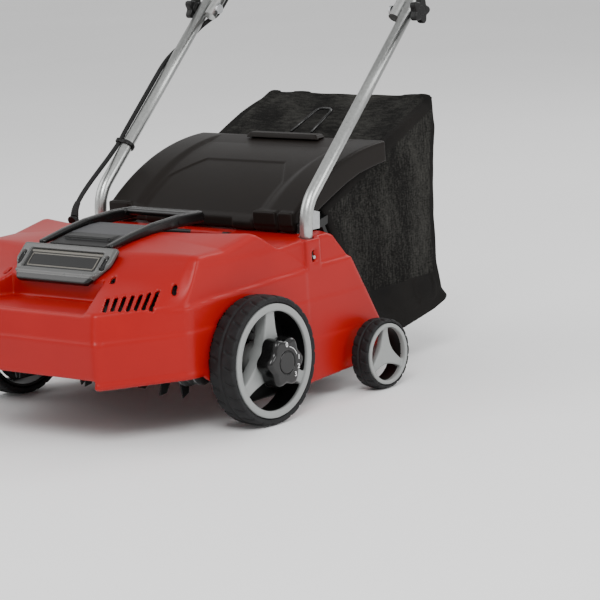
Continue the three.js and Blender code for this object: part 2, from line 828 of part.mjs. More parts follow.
// Steel frame in the bag's mouth, with a hook at each side that hangs on a bracket.
function bagFrame() {
  const outer = alongX([[240, 288], [334, 106], [340, 109], [246, 291]], -BAG_HALF, BAG_HALF);
  const window = alongX([[236, 276], [322, 108], [340, 122], [250, 286]], -BAG_HALF + 9, BAG_HALF - 9);
  const hook = alongX([[248, 283], [216, 276], [212, 266], [236, 266], [247, 270]], BAG_HALF - 1, 204.6);
  return union(cut(outer, window).translate([0, -4, -2]), hook, mirrored(hook));
}

add("bag_fabric", bagFabric(), FABRIC);
add("bag_frame", bagFrame(), STEEL);

// Wire loop on top of the bag for carrying it.
function bagLoop() {
  const half = 22;
  const front = [438, 384.5];
  const rear = [508, 416.5];
  const stations = [
    [-half, ...front],
    ...rounded([-half, ...front], [-half + 6, ...rear], [half - 6, ...rear], 12, 4),
    ...rounded([-half + 6, ...rear], [half - 6, ...rear], [half, ...front], 12, 4),
    [half, ...front],
  ];
  return tube(stations, 2.2, 8);
}

add("bag_loop", bagLoop(), STEEL);

// ---------------------------------------------------------------- handle
function lowerTube() {
  const low = [LOWER_TUBE_X, ...footPoint(217)];
  const corner = [LOWER_TUBE_X, ...TUBE_CORNER];
  const end = [LOWER_TUBE_X, ...onHandle(FOLD_AT + 16, 0)];
  return tube([low, ...rounded(low, corner, end, 24, 5), end], TUBE_R, 14);
}

function boltHole(x0, x1) {
  return disc(x0, x1, 3 + GAP, FOLD[0], FOLD[1], 12);
}

function upperHandle() {
  const start = [UPPER_TUBE_X, ...onHandle(FOLD_AT - 16, 0)];
  const corner = [UPPER_TUBE_X, ...GRIP];
  const other = [-UPPER_TUBE_X, ...GRIP];
  const finish = [-UPPER_TUBE_X, ...onHandle(FOLD_AT - 16, 0)];
  const stations = [
    start,
    ...rounded(start, corner, other, 62, 6),
    ...rounded(corner, other, finish, 62, 6),
    finish,
  ];
  return cut(tube(stations, TUBE_R, 14), boltHole(-240, 240));
}

function gripSleeve() {
  return ring(-120, 120, TUBE_R + GAP, GRIP_R, GRIP[0], GRIP[1], 20);
}

const screwHole = disc(205, 240, 3 + GAP, 172, 229, 12);
addPair("lower_tube", cut(lowerTube(), boltHole(150, 240), screwHole), TUBE_METAL);
add("upper_handle", upperHandle(), TUBE_METAL);
add("grip_sleeve", gripSleeve(), BLACK);

// Fold bolt through both tubes; its dome head is inside and the star knob outside.
function foldBolt() {
  const headIn = UPPER_TUBE_X - TUBE_R - GAP - 4;
  const shankEnd = LOWER_TUBE_X + TUBE_R + 14;
  return union(disc(headIn, headIn + 4, 8, ...FOLD, 16), disc(headIn + 2, shankEnd, 3, ...FOLD, 12));
}

function starKnob() {
  const x0 = LOWER_TUBE_X + TUBE_R + GAP;
  const outline = Array.from({ length: 30 }, (_, i) => {
    const a = (2 * Math.PI * i) / 30;
    const r = 19 + 3.5 * Math.cos(5 * a);
    return [FOLD[0] + r * Math.cos(a), FOLD[1] + r * Math.sin(a)];
  });
  const head = alongX(outline, x0 + 5, x0 + 18);
  return cut(union(head, disc(x0, x0 + 6, 10, ...FOLD, 16)), boltHole(x0 - 1, x0 + 14.5));
}

addPair("fold_bolt", foldBolt(), STEEL);
addPair("star_knob", starKnob(), BLACK);

function tubeScrew() {
  const shank = disc(LOWER_TUBE_X - 8, LOWER_TUBE_X + 11, 2.8, 172, 229, 12);
  const head = disc(LOWER_TUBE_X + 10.9, LOWER_TUBE_X + 13.5, 2.9, 172, 229, 12);
  return union(shank, head);
}

addPair("tube_screw", tubeScrew(), STEEL);

// Flat steel tab beside each tube, screwed to the deck, that the bag hooks over.
function bagBracket() {
  const foot = REAR_DECK_Z + 4;
  return alongX([[188, foot], [222, foot], [224, 292], [207, 297], [190, 296]], 205, 208);
}

addPair("bag_bracket", bagBracket(), STEEL);

// ---------------------------------------------------------------- switch, lever and cable
const BOX_FROM = FOLD_AT + UPPER_LENGTH - 190;
const BOX_TO = BOX_FROM + 105;
const LEVER_AT = BOX_FROM + 30;
const LEVER_PIVOT = onHandle(LEVER_AT, 0);

// The room a tube of the handle takes, with a fitting gap round it.
function handleBore(x, from, to) {
  return tube([[x, ...onHandle(from, 0)], [x, ...onHandle(to, 0)]], TUBE_R + GAP, 16);
}

function handleBlock(x0, x1, from, to, under, over) {
  const outline = [onHandle(from, under), onHandle(to, under), onHandle(to, over), onHandle(from, over)];
  return alongX(outline, x0, x1);
}

function switchBox() {
  const box = handleBlock(-UPPER_TUBE_X - 22, -UPPER_TUBE_X + 24, BOX_FROM, BOX_TO, -20, 26);
  const bore = handleBore(-UPPER_TUBE_X, BOX_FROM - 5, BOX_TO + 5);
  const buttonWell = handleBlock(-UPPER_TUBE_X - 8, -UPPER_TUBE_X + 8, BOX_FROM + 60, BOX_FROM + 82, 14, 30);
  const wellTo = BOX_FROM + 16;
  const plugWell = handleBlock(-UPPER_TUBE_X - 15, -UPPER_TUBE_X + 5, BOX_FROM - 1, wellTo, 12.5, 24.5);
  return cut(box, bore, buttonWell, plugWell, disc(-190, -170, 4 + GAP, ...LEVER_PIVOT, 12));
}

function safetyButton() {
  return handleBlock(-UPPER_TUBE_X - 7.4, -UPPER_TUBE_X + 7.4, BOX_FROM + 60.6, BOX_FROM + 81.4, 20, 31);
}

// Recessed plug with two pins, for the extension lead.
function plugInlet() {
  const base = handleBlock(-UPPER_TUBE_X - 14.4, -UPPER_TUBE_X + 4.4, BOX_FROM + 11, BOX_FROM + 15.6, 13, 24);
  const pin = handleBlock(-UPPER_TUBE_X - 11, -UPPER_TUBE_X - 8, BOX_FROM + 1, BOX_FROM + 12, 17, 20);
  return union(base, pin, pin.translate([9, 0, 0]));
}

// Switch lever: a bow across the handle, hinged between the switch box and a bracket.

function switchLever() {
  const side = UPPER_TUBE_X - 30;
  const foot = LEVER_PIVOT;
  const top = onHandle(FOLD_AT + UPPER_LENGTH - 12, 60);
  const stations = [
    [side, ...foot],
    ...rounded([side, ...foot], [side, ...top], [-side, ...top], 30, 5),
    ...rounded([side, ...top], [-side, ...top], [-side, ...foot], 30, 5),
    [-side, ...foot],
  ];
  const eye = union(disc(side - 5, side + 5, 8, ...foot, 12), disc(side, side + 17, 4, ...foot, 12));
  return union(tube(stations, 4.5, 8), eye, mirrored(eye));
}

function leverBracket() {
  const clamp = handleBlock(UPPER_TUBE_X - 16, UPPER_TUBE_X + 16, LEVER_AT - 14, LEVER_AT + 14, -16, 16);
  const bore = handleBore(UPPER_TUBE_X, LEVER_AT - 20, LEVER_AT + 20);
  return cut(clamp, bore, disc(180, 195, 4 + GAP, ...LEVER_PIVOT, 12));
}

add("switch_box", switchBox(), BLACK);
add("safety_button", safetyButton(), RED);
add("plug_inlet", plugInlet(), LIGHT_GREY);
add("switch_lever", switchLever(), BLACK);
add("lever_bracket", leverBracket(), BLACK);

// The lead from the switch to the motor: inside of the deck's gland, up beside the left tube,
// past the fold on its rear side and into the switch box.
const CABLE_LOWER = [
  [-190, 84, 283.5],
  [-194.7, 89.9, 296.8],
  [-201.2, 105.9, 310.7],
  [-209, 129.4, 325.3],
  [-217.3, 157.7, 340.7],
  [-225.2, 188.2, 357.1],
  [-232, 218.1, 374.7],
  [-237.1, 245, 393.5],
];
const CABLE_SIDE = LOWER_TUBE_X + TUBE_R + CABLE_R + 1.2;

function cableLower() {
  const beside = [150, 220, 290].map((a) => [-CABLE_SIDE, ...onHandle(a, 0)]);
  const under = [20, 40, 60, 80].map((turn, i) => {
    const angle = THREE.MathUtils.degToRad(turn);
    const x = -LOWER_TUBE_X - 15 * Math.cos(angle);
    return [x, ...onHandle(315 + i * 18, -15 * Math.sin(angle))];
  });
  under.push([-LOWER_TUBE_X + 6, ...onHandle(FOLD_AT - 8, -17)]);
  return tube([...CABLE_LOWER, ...beside, ...under], CABLE_R, 8);
}

function cableUpper() {
  const stations = [
    [-UPPER_TUBE_X - 4, ...onHandle(FOLD_AT + 4, -17)],
    [-UPPER_TUBE_X, ...onHandle(FOLD_AT + 40, -15)],
    [-UPPER_TUBE_X, ...onHandle(FOLD_AT + 120, -15)],
    [-UPPER_TUBE_X, ...onHandle(FOLD_AT + 220, -15)],
    [-UPPER_TUBE_X, ...onHandle(BOX_FROM - 0.6, -15)],
  ];
  return tube(stations, CABLE_R, 8);
}

function cableClip() {
  const at = 96;
  const clip = union(
    handleBlock(-LOWER_TUBE_X - 13, -LOWER_TUBE_X + 13, at, at + 8, -13, 13),
    handleBlock(-CABLE_SIDE - 6, -LOWER_TUBE_X - 10, at, at + 8, -6, 6),
  );
  const tubeHole = handleBore(-LOWER_TUBE_X, at - 20, at + 30);
  const cable = cableLower();
  const shifts = [[0, 0, 0], [-0.3, 0, 0], [0.3, 0, 0], [0, 0.3, 0.3], [0, -0.3, -0.3]];
  return cut(clip, tubeHole, ...shifts.map((shift) => cable.translate(shift)));
}

function cableGland() {
  const gland = turned([[0, 0], [9, 0], [9, 8], [3, 9], [0, 9]], 0, 0, 12);
  return gland.rotate([0, 0, 90]).rotate([22, 0, 0]).translate([-190, 70, 278]);
}

add("cable_lower", cableLower(), BLACK);
add("cable_upper", cableUpper(), BLACK);
add("cable_clip", cableClip(), BLACK);
const leadRoom = union(cableLower(), cableLower().translate([0, -0.4, 0]));
add("cable_gland", cut(cableGland(), deckBlank(-0.4), leadRoom), BLACK);

root.position.set(0, -CENTRE_Y, 0);

export default root;
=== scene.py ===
"""Lawn dethatcher: fine mouldings, cloth bag, materials, camera and light over the CAD frame."""

import json
import math

import bmesh
import bpy
import numpy as np
import openvdb
from mathutils import Matrix, Vector


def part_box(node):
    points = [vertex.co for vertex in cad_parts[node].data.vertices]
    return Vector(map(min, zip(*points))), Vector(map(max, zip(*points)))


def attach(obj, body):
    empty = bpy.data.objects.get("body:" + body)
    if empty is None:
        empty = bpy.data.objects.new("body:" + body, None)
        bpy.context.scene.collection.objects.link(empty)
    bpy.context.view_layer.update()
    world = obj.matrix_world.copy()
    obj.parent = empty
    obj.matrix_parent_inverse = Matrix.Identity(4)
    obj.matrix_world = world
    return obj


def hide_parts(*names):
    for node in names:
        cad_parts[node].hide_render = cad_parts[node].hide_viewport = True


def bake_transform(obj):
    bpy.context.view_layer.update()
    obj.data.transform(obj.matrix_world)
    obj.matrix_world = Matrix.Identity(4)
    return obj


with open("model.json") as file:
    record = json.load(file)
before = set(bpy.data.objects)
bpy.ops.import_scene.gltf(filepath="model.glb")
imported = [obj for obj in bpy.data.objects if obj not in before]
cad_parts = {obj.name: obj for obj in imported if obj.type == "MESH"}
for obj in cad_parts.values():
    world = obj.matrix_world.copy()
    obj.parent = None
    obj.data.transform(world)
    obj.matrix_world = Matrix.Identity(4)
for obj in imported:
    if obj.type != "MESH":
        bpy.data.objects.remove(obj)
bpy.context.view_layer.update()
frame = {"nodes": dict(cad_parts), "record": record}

# Places seen from the side, as Y and Z in millimetres, with Y = 0 at the front axle.
FRONT_AXLE = (0, 100)
REAR_AXLE = (285, 56.8)
CRANK_PIVOT = (0, 128)
ROLLER = (-88, 104)
HINGE = (180, 275)
HANDLE_BEND = (174.7, 309.9)
FOLD = (461.95, 588.3)
GRIP = (821.0, 936.2)

TUBE_X = 222
BOW_X = 200.5
TUBE_RADIUS = 0.0103
LEAD_RADIUS = 0.0039

# The frame's origin is the middle of the part's footprint, so Y is shifted.
AXLE_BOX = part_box("rear_axle")
SHIFT = REAR_AXLE[0] / 1000 - (AXLE_BOX[0][1] + AXLE_BOX[1][1]) / 2


def at(x, y, z):
    """A point given in millimetres from the front axle, as a vector in the row frame."""
    return Vector((x / 1000, y / 1000 - SHIFT, z / 1000))


# ---------------------------------------------------------------- camera, light, floor
def make_camera():
    """A camera to the right of the front and a little above, slightly rolled, with a long lens."""
    azimuth, elevation, roll = math.radians(40.1), math.radians(10.2), math.radians(-3.2)
    distance = 4.392
    back = Vector(
        (
            math.sin(azimuth) * math.cos(elevation),
            -math.cos(azimuth) * math.cos(elevation),
            math.sin(elevation),
        )
    )
    right = Vector((math.cos(azimuth), math.sin(azimuth), 0))
    up = back.cross(right)
    right, up = (
        right * math.cos(roll) + up * math.sin(roll),
        up * math.cos(roll) - right * math.sin(roll),
    )
    camera = bpy.data.objects.new("camera", bpy.data.cameras.new("camera"))
    bpy.context.scene.collection.objects.link(camera)
    turn = Matrix((right, up, back)).transposed().to_4x4()
    camera.matrix_world = Matrix.Translation(at(261.7, 100, 175) + back * distance) @ turn
    camera.data.lens = 170.26
    camera.data.sensor_width = 36
    camera.data.clip_end = 50
    bpy.context.scene.camera = camera


def area_light(name, place, aim, size, power):
    """A square lamp that faces a point."""
    lamp = bpy.data.lights.new(name, "AREA")
    lamp.energy = power
    lamp.size = size
    light = bpy.data.objects.new(name, lamp)
    bpy.context.scene.collection.objects.link(light)
    light.location = place
    light.rotation_euler = (Vector(aim) - Vector(place)).to_track_quat("-Z", "Y").to_euler()


def make_studio():
    """White surroundings, four soft lamps and a pale floor."""
    world = bpy.data.worlds.new("studio")
    world.use_nodes = True
    world.node_tree.nodes["Background"].inputs["Color"].default_value = (1, 1, 1, 1)
    world.node_tree.nodes["Background"].inputs["Strength"].default_value = 0.8
    bpy.context.scene.world = world
    area_light("key", (2.2, -2.6, 3.2), (0, 0, 0.3), 1.8, 120)
    area_light("side", (3.4, 0.8, 1.6), (0, 0, 0.3), 1.6, 45)
    area_light("fill", (-2.6, -1.8, 2.2), (0, 0, 0.3), 2.4, 40)
    area_light("rear", (0.5, 3.4, 2.8), (0, 0, 0.3), 2.0, 50)
    bpy.ops.mesh.primitive_plane_add(size=30, location=(0, 0, 0))
    floor = bpy.context.object
    floor.name = "floor"
    floor.data.materials.append(floor_material())


# ---------------------------------------------------------------- materials
def new_material(name):
    """A node material, its tree and its shader."""
    material = bpy.data.materials.new(name)
    material.use_nodes = True
    tree = material.node_tree
    return material, tree, tree.nodes["Principled BSDF"]


def object_noise(tree, scale, detail=4.0, stretch=(1, 1, 1)):
    """Noise fixed to the object, stretched along its axes."""
    coordinates = tree.nodes.new("ShaderNodeTexCoord")
    mapping = tree.nodes.new("ShaderNodeMapping")
    mapping.inputs["Scale"].default_value = stretch
    noise = tree.nodes.new("ShaderNodeTexNoise")
    noise.inputs["Scale"].default_value = scale
    noise.inputs["Detail"].default_value = detail
    tree.links.new(coordinates.outputs["Object"], mapping.inputs["Vector"])
    tree.links.new(mapping.outputs["Vector"], noise.inputs["Vector"])
    return noise.outputs["Fac"]


def ramp_between(tree, value, low, high, start=0.3, end=0.7):
    """A colour between two, chosen by a value."""
    ramp = tree.nodes.new("ShaderNodeValToRGB")
    ramp.color_ramp.elements[0].position = start
    ramp.color_ramp.elements[1].position = end
    ramp.color_ramp.elements[0].color = (*low, 1)
    ramp.color_ramp.elements[1].color = (*high, 1)
    tree.links.new(value, ramp.inputs["Fac"])
    return ramp.outputs["Color"]


def bump(tree, shader, height, strength, distance):
    """Gives a shader the relief of a height."""
    node = tree.nodes.new("ShaderNodeBump")
    node.inputs["Strength"].default_value = strength
    node.inputs["Distance"].default_value = distance
    tree.links.new(height, node.inputs["Height"])
    tree.links.new(node.outputs["Normal"], shader.inputs["Normal"])


def scaled(tree, value, low, high):
    """A value from 0 to 1 brought between two others."""
    node = tree.nodes.new("ShaderNodeMapRange")
    node.inputs["To Min"].default_value = low
    node.inputs["To Max"].default_value = high
    tree.links.new(value, node.inputs["Value"])
    return node.outputs["Result"]


def floor_material():
    """A pale floor with a faint change of tone."""
    material, tree, shader = new_material("studio_floor")
    tone = ramp_between(tree, object_noise(tree, 1.2), (0.9, 0.9, 0.9), (0.93, 0.93, 0.93))
    tree.links.new(tone, shader.inputs["Base Color"])
    shader.inputs["Roughness"].default_value = 0.7
    return material


def moulded_plastic(name, colour, roughness, grain, gloss=0.3):
    """Moulded plastic: a slow change of tone, a fine grain and slightly uneven gloss."""
    material, tree, shader = new_material(name)
    slow = object_noise(tree, 9, 3)
    dark = tuple(c * 0.9 for c in colour)
    tree.links.new(ramp_between(tree, slow, dark, colour), shader.inputs["Base Color"])
    fine = object_noise(tree, 1400, 2)
    tree.links.new(
        scaled(tree, slow, roughness * 0.88, roughness * 1.12), shader.inputs["Roughness"]
    )
    shader.inputs["Specular IOR Level"].default_value = gloss
    bump(tree, shader, fine, grain, 0.0004)
    return material


def brushed_metal(name, colour, roughness, metallic=1.0):
    """Metal whose fine lines vary its tone and its gloss."""
    material, tree, shader = new_material(name)
    lines = object_noise(tree, 220, 3)
    dark = tuple(c * 0.82 for c in colour)
    tree.links.new(ramp_between(tree, lines, dark, colour), shader.inputs["Base Color"])
    shader.inputs["Metallic"].default_value = metallic
    gloss = scaled(tree, lines, roughness * 0.8, roughness * 1.2)
    tree.links.new(gloss, shader.inputs["Roughness"])
    bump(tree, shader, lines, 0.05, 0.0003)
    return material


def rubber(name, colour, roughness):
    """Rubber with a little pale dust."""
    material, tree, shader = new_material(name)
    dust = object_noise(tree, 60, 5)
    pale = tuple(c * 1.7 + 0.004 for c in colour)
    tree.links.new(ramp_between(tree, dust, colour, pale, 0.45, 0.8), shader.inputs["Base Color"])
    tree.links.new(scaled(tree, dust, roughness * 0.9, 0.85), shader.inputs["Roughness"])
    shader.inputs["Specular IOR Level"].default_value = 0.25
    bump(tree, shader, object_noise(tree, 900, 3), 0.15, 0.0005)
    return material


def wave_height(tree, scale, direction):
    """The height of even threads, one after another along an axis."""
    coordinates = tree.nodes.new("ShaderNodeTexCoord")
    wave = tree.nodes.new("ShaderNodeTexWave")
    wave.wave_type = "BANDS"
    wave.bands_direction = direction
    wave.inputs["Scale"].default_value = scale
    wave.inputs["Distortion"].default_value = 1.2
    wave.inputs["Detail"].default_value = 1
    wave.inputs["Detail Scale"].default_value = 2
    tree.links.new(coordinates.outputs["Object"], wave.inputs["Vector"])
    return wave.outputs["Fac"]


def added(tree, a, b):
    """The sum of two values."""
    node = tree.nodes.new("ShaderNodeMath")
    node.operation = "ADD"
    tree.links.new(a, node.inputs[0])
    tree.links.new(b, node.inputs[1])
    return node.outputs["Value"]


def woven_mesh(name):
    """Open woven polyester: fine threads that catch the light in streaks between dark gaps."""
    material, tree, shader = new_material(name)
    streaks = object_noise(tree, 420, 2, (1, 1, 0.14))
    cross = object_noise(tree, 360, 2, (0.16, 0.5, 1))
    patches = object_noise(tree, 16, 4, (1, 1, 0.3))
    weave = added(tree, scaled(tree, streaks, 0, 0.5), scaled(tree, cross, 0, 0.5))
    weave = added(tree, scaled(tree, weave, 0, 0.62), scaled(tree, patches, 0, 0.38))
    colour = ramp_between(tree, weave, (0.0038, 0.0036, 0.0032), (0.040, 0.039, 0.035), 0.44, 0.68)
    tree.links.new(colour, shader.inputs["Base Color"])
    shader.inputs["Roughness"].default_value = 0.9
    shader.inputs["Specular IOR Level"].default_value = 0.12
    bump(tree, shader, weave, 0.5, 0.0008)
    return material


def plain_cloth(name):
    """Close woven black cloth of the hems and the floor of the bag."""
    material, tree, shader = new_material(name)
    threads = added(tree, wave_height(tree, 260, "Z"), wave_height(tree, 260, "X"))
    slow = object_noise(tree, 12, 4)
    colour = ramp_between(tree, slow, (0.004, 0.0036, 0.0034), (0.010, 0.009, 0.008))
    tree.links.new(colour, shader.inputs["Base Color"])
    shader.inputs["Roughness"].default_value = 0.85
    shader.inputs["Specular IOR Level"].default_value = 0.12
    bump(tree, shader, threads, 0.35, 0.0005)
    return material


RED = (0.335, 0.0045, 0.0035)
MATERIALS = {
    "red_plastic": moulded_plastic("red_plastic", RED, 0.36, 0.05, gloss=0.24),
    "hood_plastic": moulded_plastic(
        "hood_plastic", (0.0082, 0.0060, 0.0048), 0.42, 0.12, gloss=0.13
    ),
    "black_plastic": moulded_plastic(
        "black_plastic", (0.006, 0.006, 0.006), 0.38, 0.10, gloss=0.25
    ),
    "grey_plastic": moulded_plastic("grey_plastic", (0.052, 0.052, 0.056), 0.45, 0.12),
    "light_grey_plastic": moulded_plastic("light_grey_plastic", (0.27, 0.28, 0.275), 0.4, 0.08),
    "bezel_grey": moulded_plastic("bezel_grey", (0.085, 0.086, 0.084), 0.28, 0.05, gloss=0.5),
    "tyre_rubber": rubber("tyre_rubber", (0.0075, 0.0075, 0.008), 0.5),
    "rubber": rubber("soft_rubber", (0.007, 0.007, 0.007), 0.6),
    "steel": brushed_metal("zinc_steel", (0.50, 0.51, 0.52), 0.33),
    "dark_steel": brushed_metal("dark_steel", (0.05, 0.05, 0.05), 0.45),
    "tube_metal": brushed_metal("tube_metal", (0.46, 0.47, 0.46), 0.30, metallic=0.9),
    "cast_metal": brushed_metal("bare_iron", (0.20, 0.20, 0.21), 0.5),
    "bag_cloth": rubber("cloth_stand_in", (0.02, 0.018, 0.017), 0.9),
    "black_gloss": moulded_plastic("black_gloss", (0.005, 0.005, 0.005), 0.22, 0.04, gloss=0.45),
    "warm_grey": moulded_plastic("warm_grey", (0.16, 0.15, 0.13), 0.4, 0.05),
    "mark_white": moulded_plastic("mark_white", (0.8, 0.8, 0.8), 0.5, 0.05),
    "bag_mesh": woven_mesh("bag_mesh"),
    "bag_hem": plain_cloth("bag_hem"),
}


def dress_frame():
    """Every CAD node takes the material of its slot in the record."""
    slots = {part["node"]: part["material_slot"] for part in frame["record"]["subparts"]}
    slots.update(
        blade_pack_right="dark_steel", blade_pack_left="dark_steel", bag_frame="dark_steel",
        front_axle="dark_steel", axle_bush_right="black_plastic", axle_bush_left="black_plastic",
    )
    for name, node in frame["nodes"].items():
        node.data.materials.clear()
        node.data.materials.append(MATERIALS[slots[name]])


# ---------------------------------------------------------------- solid fields
# Mouldings are built as distance fields in millimetres, negative inside, and then meshed.
# Fields use the part's own frame: X across, Y back from the front axle, Z up.
def grid(low, high, pitch):
    """The X, Y and Z of a grid, as three arrays that broadcast together."""
    axes = []
    for i in range(3):
        count = int(math.ceil((high[i] - low[i]) / pitch)) + 1
        shape = [1, 1, 1]
        shape[i] = count
        axes.append((low[i] + pitch * np.arange(count)).astype(np.float32).reshape(shape))
    return axes


def smax(a, b, k):
    """The larger of two values, blended where they are within k of each other."""
    h = np.clip(0.5 + 0.5 * (a - b) / k, 0, 1)
    return b + (a - b) * h + k * h * (1 - h)


def smin(a, b, k):
    """The smaller of two values, blended in the same way."""
    return -smax(-a, -b, k)


def cut(body, tool, k=0.01):
    """A body less a tool."""
    return smax(body, -tool, k)


def box_field(X, Y, Z, low, high, radius=0.0):
    """A box between two corners, with rounded edges."""
    parts = []
    for axis, a, b in zip((X, Y, Z), low, high):
        parts.append(np.abs(axis - (a + b) / 2) - (b - a) / 2 + radius)
    outside = np.sqrt(sum(np.maximum(p, 0) ** 2 for p in parts))
    inside = np.minimum(np.maximum(np.maximum(parts[0], parts[1]), parts[2]), 0)
    return outside + inside - radius


def rod_field(X, Y, Z, a, b, radius):
    """Distance to a straight rod with round ends."""
    a, b = np.array(a, float), np.array(b, float)
    d = b - a
    t = ((X - a[0]) * d[0] + (Y - a[1]) * d[1] + (Z - a[2]) * d[2]) / float(d @ d)
    t = np.clip(t, 0, 1)
    gap = [axis - (a[i] + t * d[i]) for i, axis in enumerate((X, Y, Z))]
    return np.sqrt(gap[0] ** 2 + gap[1] ** 2 + gap[2] ** 2) - radius


def disc_field(X, Y, Z, x0, x1, y, z, radius, k=0.01):
    """A cylinder whose axis runs along X."""
    return smax(np.hypot(Y - y, Z - z) - radius, np.abs(X - (x0 + x1) / 2) - (x1 - x0) / 2, k)


def outline_field(U, V, points):
    """Signed distance to a closed polygon in the plane of U and V."""
    best = None
    inside = np.zeros(np.broadcast(U, V).shape, bool)
    for (u0, v0), (u1, v1) in zip(points, points[1:] + points[:1]):
        du, dv = u1 - u0, v1 - v0
        t = np.clip(((U - u0) * du + (V - v0) * dv) / (du * du + dv * dv), 0, 1)
        gap = (U - u0 - t * du) ** 2 + (V - v0 - t * dv) ** 2
        best = gap if best is None else np.minimum(best, gap)
        crosses = (V >= min(v0, v1)) & (V < max(v0, v1))
        if dv:
            inside ^= crosses & (U < u0 + (V - v0) * du / dv)
    return np.where(inside, -1.0, 1.0) * np.sqrt(best)


def evened(field, pitch):
    """Divides a field by its own slope, so that offsets are true distances near the surface."""
    slopes = np.gradient(field, pitch)
    steep = np.sqrt(slopes[0] ** 2 + slopes[1] ** 2 + slopes[2] ** 2)
    return field / np.clip(steep, 0.6, 6)


def mesh_of(name, field, low, pitch, materials, body, stands_for=(), pick=None):
    """Meshes a field, smooth shaded, and lets it ride on a body in place of CAD nodes."""
    band = 3 * pitch
    volume = openvdb.FloatGrid(band)
    volume.copyFromArray(np.clip(field, -band, band).astype(np.float32))
    points, quads = volume.convertToQuads(0.0)
    points = points * pitch + np.array(low)
    a, b, c, d = (points[quads[:, i]] for i in range(4))
    if (np.cross(b, c) * a).sum() + (np.cross(c, d) * a).sum() < 0:
        quads = quads[:, ::-1]
    points /= 1000
    points[:, 1] -= SHIFT
    mesh = bpy.data.meshes.new(name)
    mesh.vertices.add(len(points))
    mesh.vertices.foreach_set("co", points.astype(np.float32).ravel())
    mesh.loops.add(quads.size)
    mesh.loops.foreach_set("vertex_index", quads.astype(np.int32).ravel())
    mesh.polygons.add(len(quads))
    mesh.polygons.foreach_set("loop_start", np.arange(0, quads.size, 4, dtype=np.int32))
    mesh.update(calc_edges=True)
    mesh.validate()
    count = len(mesh.polygons)
    mesh.polygons.foreach_set("use_smooth", np.ones(count, dtype=bool))
    if pick:
        centres = np.empty(count * 3, dtype=np.float32)
        mesh.polygons.foreach_get("center", centres)
        x, y, z = centres.reshape(-1, 3).T * 1000
        chosen = np.asarray(pick(x, y + SHIFT * 1000, z)).astype(np.int32)
        mesh.polygons.foreach_set("material_index", chosen)
    for material in materials:
        mesh.materials.append(material)
    piece = bpy.data.objects.new(name, mesh)
    bpy.context.scene.collection.objects.link(piece)
    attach(piece, body)
    if stands_for:
        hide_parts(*stands_for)


# ---------------------------------------------------------------- deck
DECK_SIDE_LOW = [
    (-300, 93), (-105, 92), (-84, 76), (-64, 46), (-44, 31), (147, 31), (250, 37), (322, 42),
    (336, 60), (332, 100), (265, 216), (241, 243), (227, 259), (212, 264), (160, 262), (90, 258),
    (-300, 258),
]
DECK_SIDE_HIGH = [
    (-300, 93), (-105, 92), (-84, 76), (-64, 46), (-44, 31), (147, 31), (150, 120), (150, 340),
    (-300, 340),
]


def deck_outline_at(height):
    """Half width and depth of the nose, half width and start of the sides, at a height."""
    levels = [20, 100, 103, 161, 165, 203, 206, 236, 272, 308]
    nose_half = [165, 165, 163.5, 162, 160, 156, 154, 104, 92, 80]
    nose_y = [-263, -263, -261.5, -260.5, -258.5, -250, -248, -164, -121, -78]
    side_half = [239, 239, 237.8, 237.4, 236, 235.8, 235.5, 234.5, 231, 227]
    side_y = [-131, -131, -130, -130, -129, -128, -128, -112, -92, -72]
    rear_half = [238.5, 238.5, 238, 238, 237.5, 237.5, 237.5, 237, 236.5, 235]
    rows = [np.interp(height, levels, values) for values in
            (nose_half, nose_y, side_half, side_y, rear_half)]
    step = float(height[1] - height[0])
    window = np.ones(max(3, int(16 / step) | 1))
    window /= window.sum()
    soft = np.clip((height - 214) / 12, 0, 1)
    pad = len(window) // 2
    rows = [
        row * (1 - soft) + soft * np.convolve(np.pad(row, pad, mode="edge"), window, "valid")
        for row in rows
    ]
    return [row.reshape(1, 1, -1) for row in rows]


def deck_skin(X, Y, Z, side):
    """The deck's outer form without its openings; `side` is its view from the side."""
    across = np.abs(X)
    nose_half, nose_y, side_half, side_y, rear_half = deck_outline_at(Z.ravel())
    run, rise = side_half - nose_half, side_y - nose_y
    swept = ((across - nose_half) * rise - (Y - nose_y) * run) / np.hypot(run, rise)
    crease = np.interp(Y.ravel(), [-130, -73, 97, 257], [203.5, 205.6, 211, 216.5])
    crease = crease.reshape(1, -1, 1)
    inset = 1.5 / (1 + np.exp(-(Z - crease) / 0.8))
    straight = across - side_half - (rear_half - side_half) * (Y - side_y) / (346 - side_y) + inset
    plan = smax(smax(nose_y - Y, swept, 5), straight, 6)
    return smax(plan, side, 7)


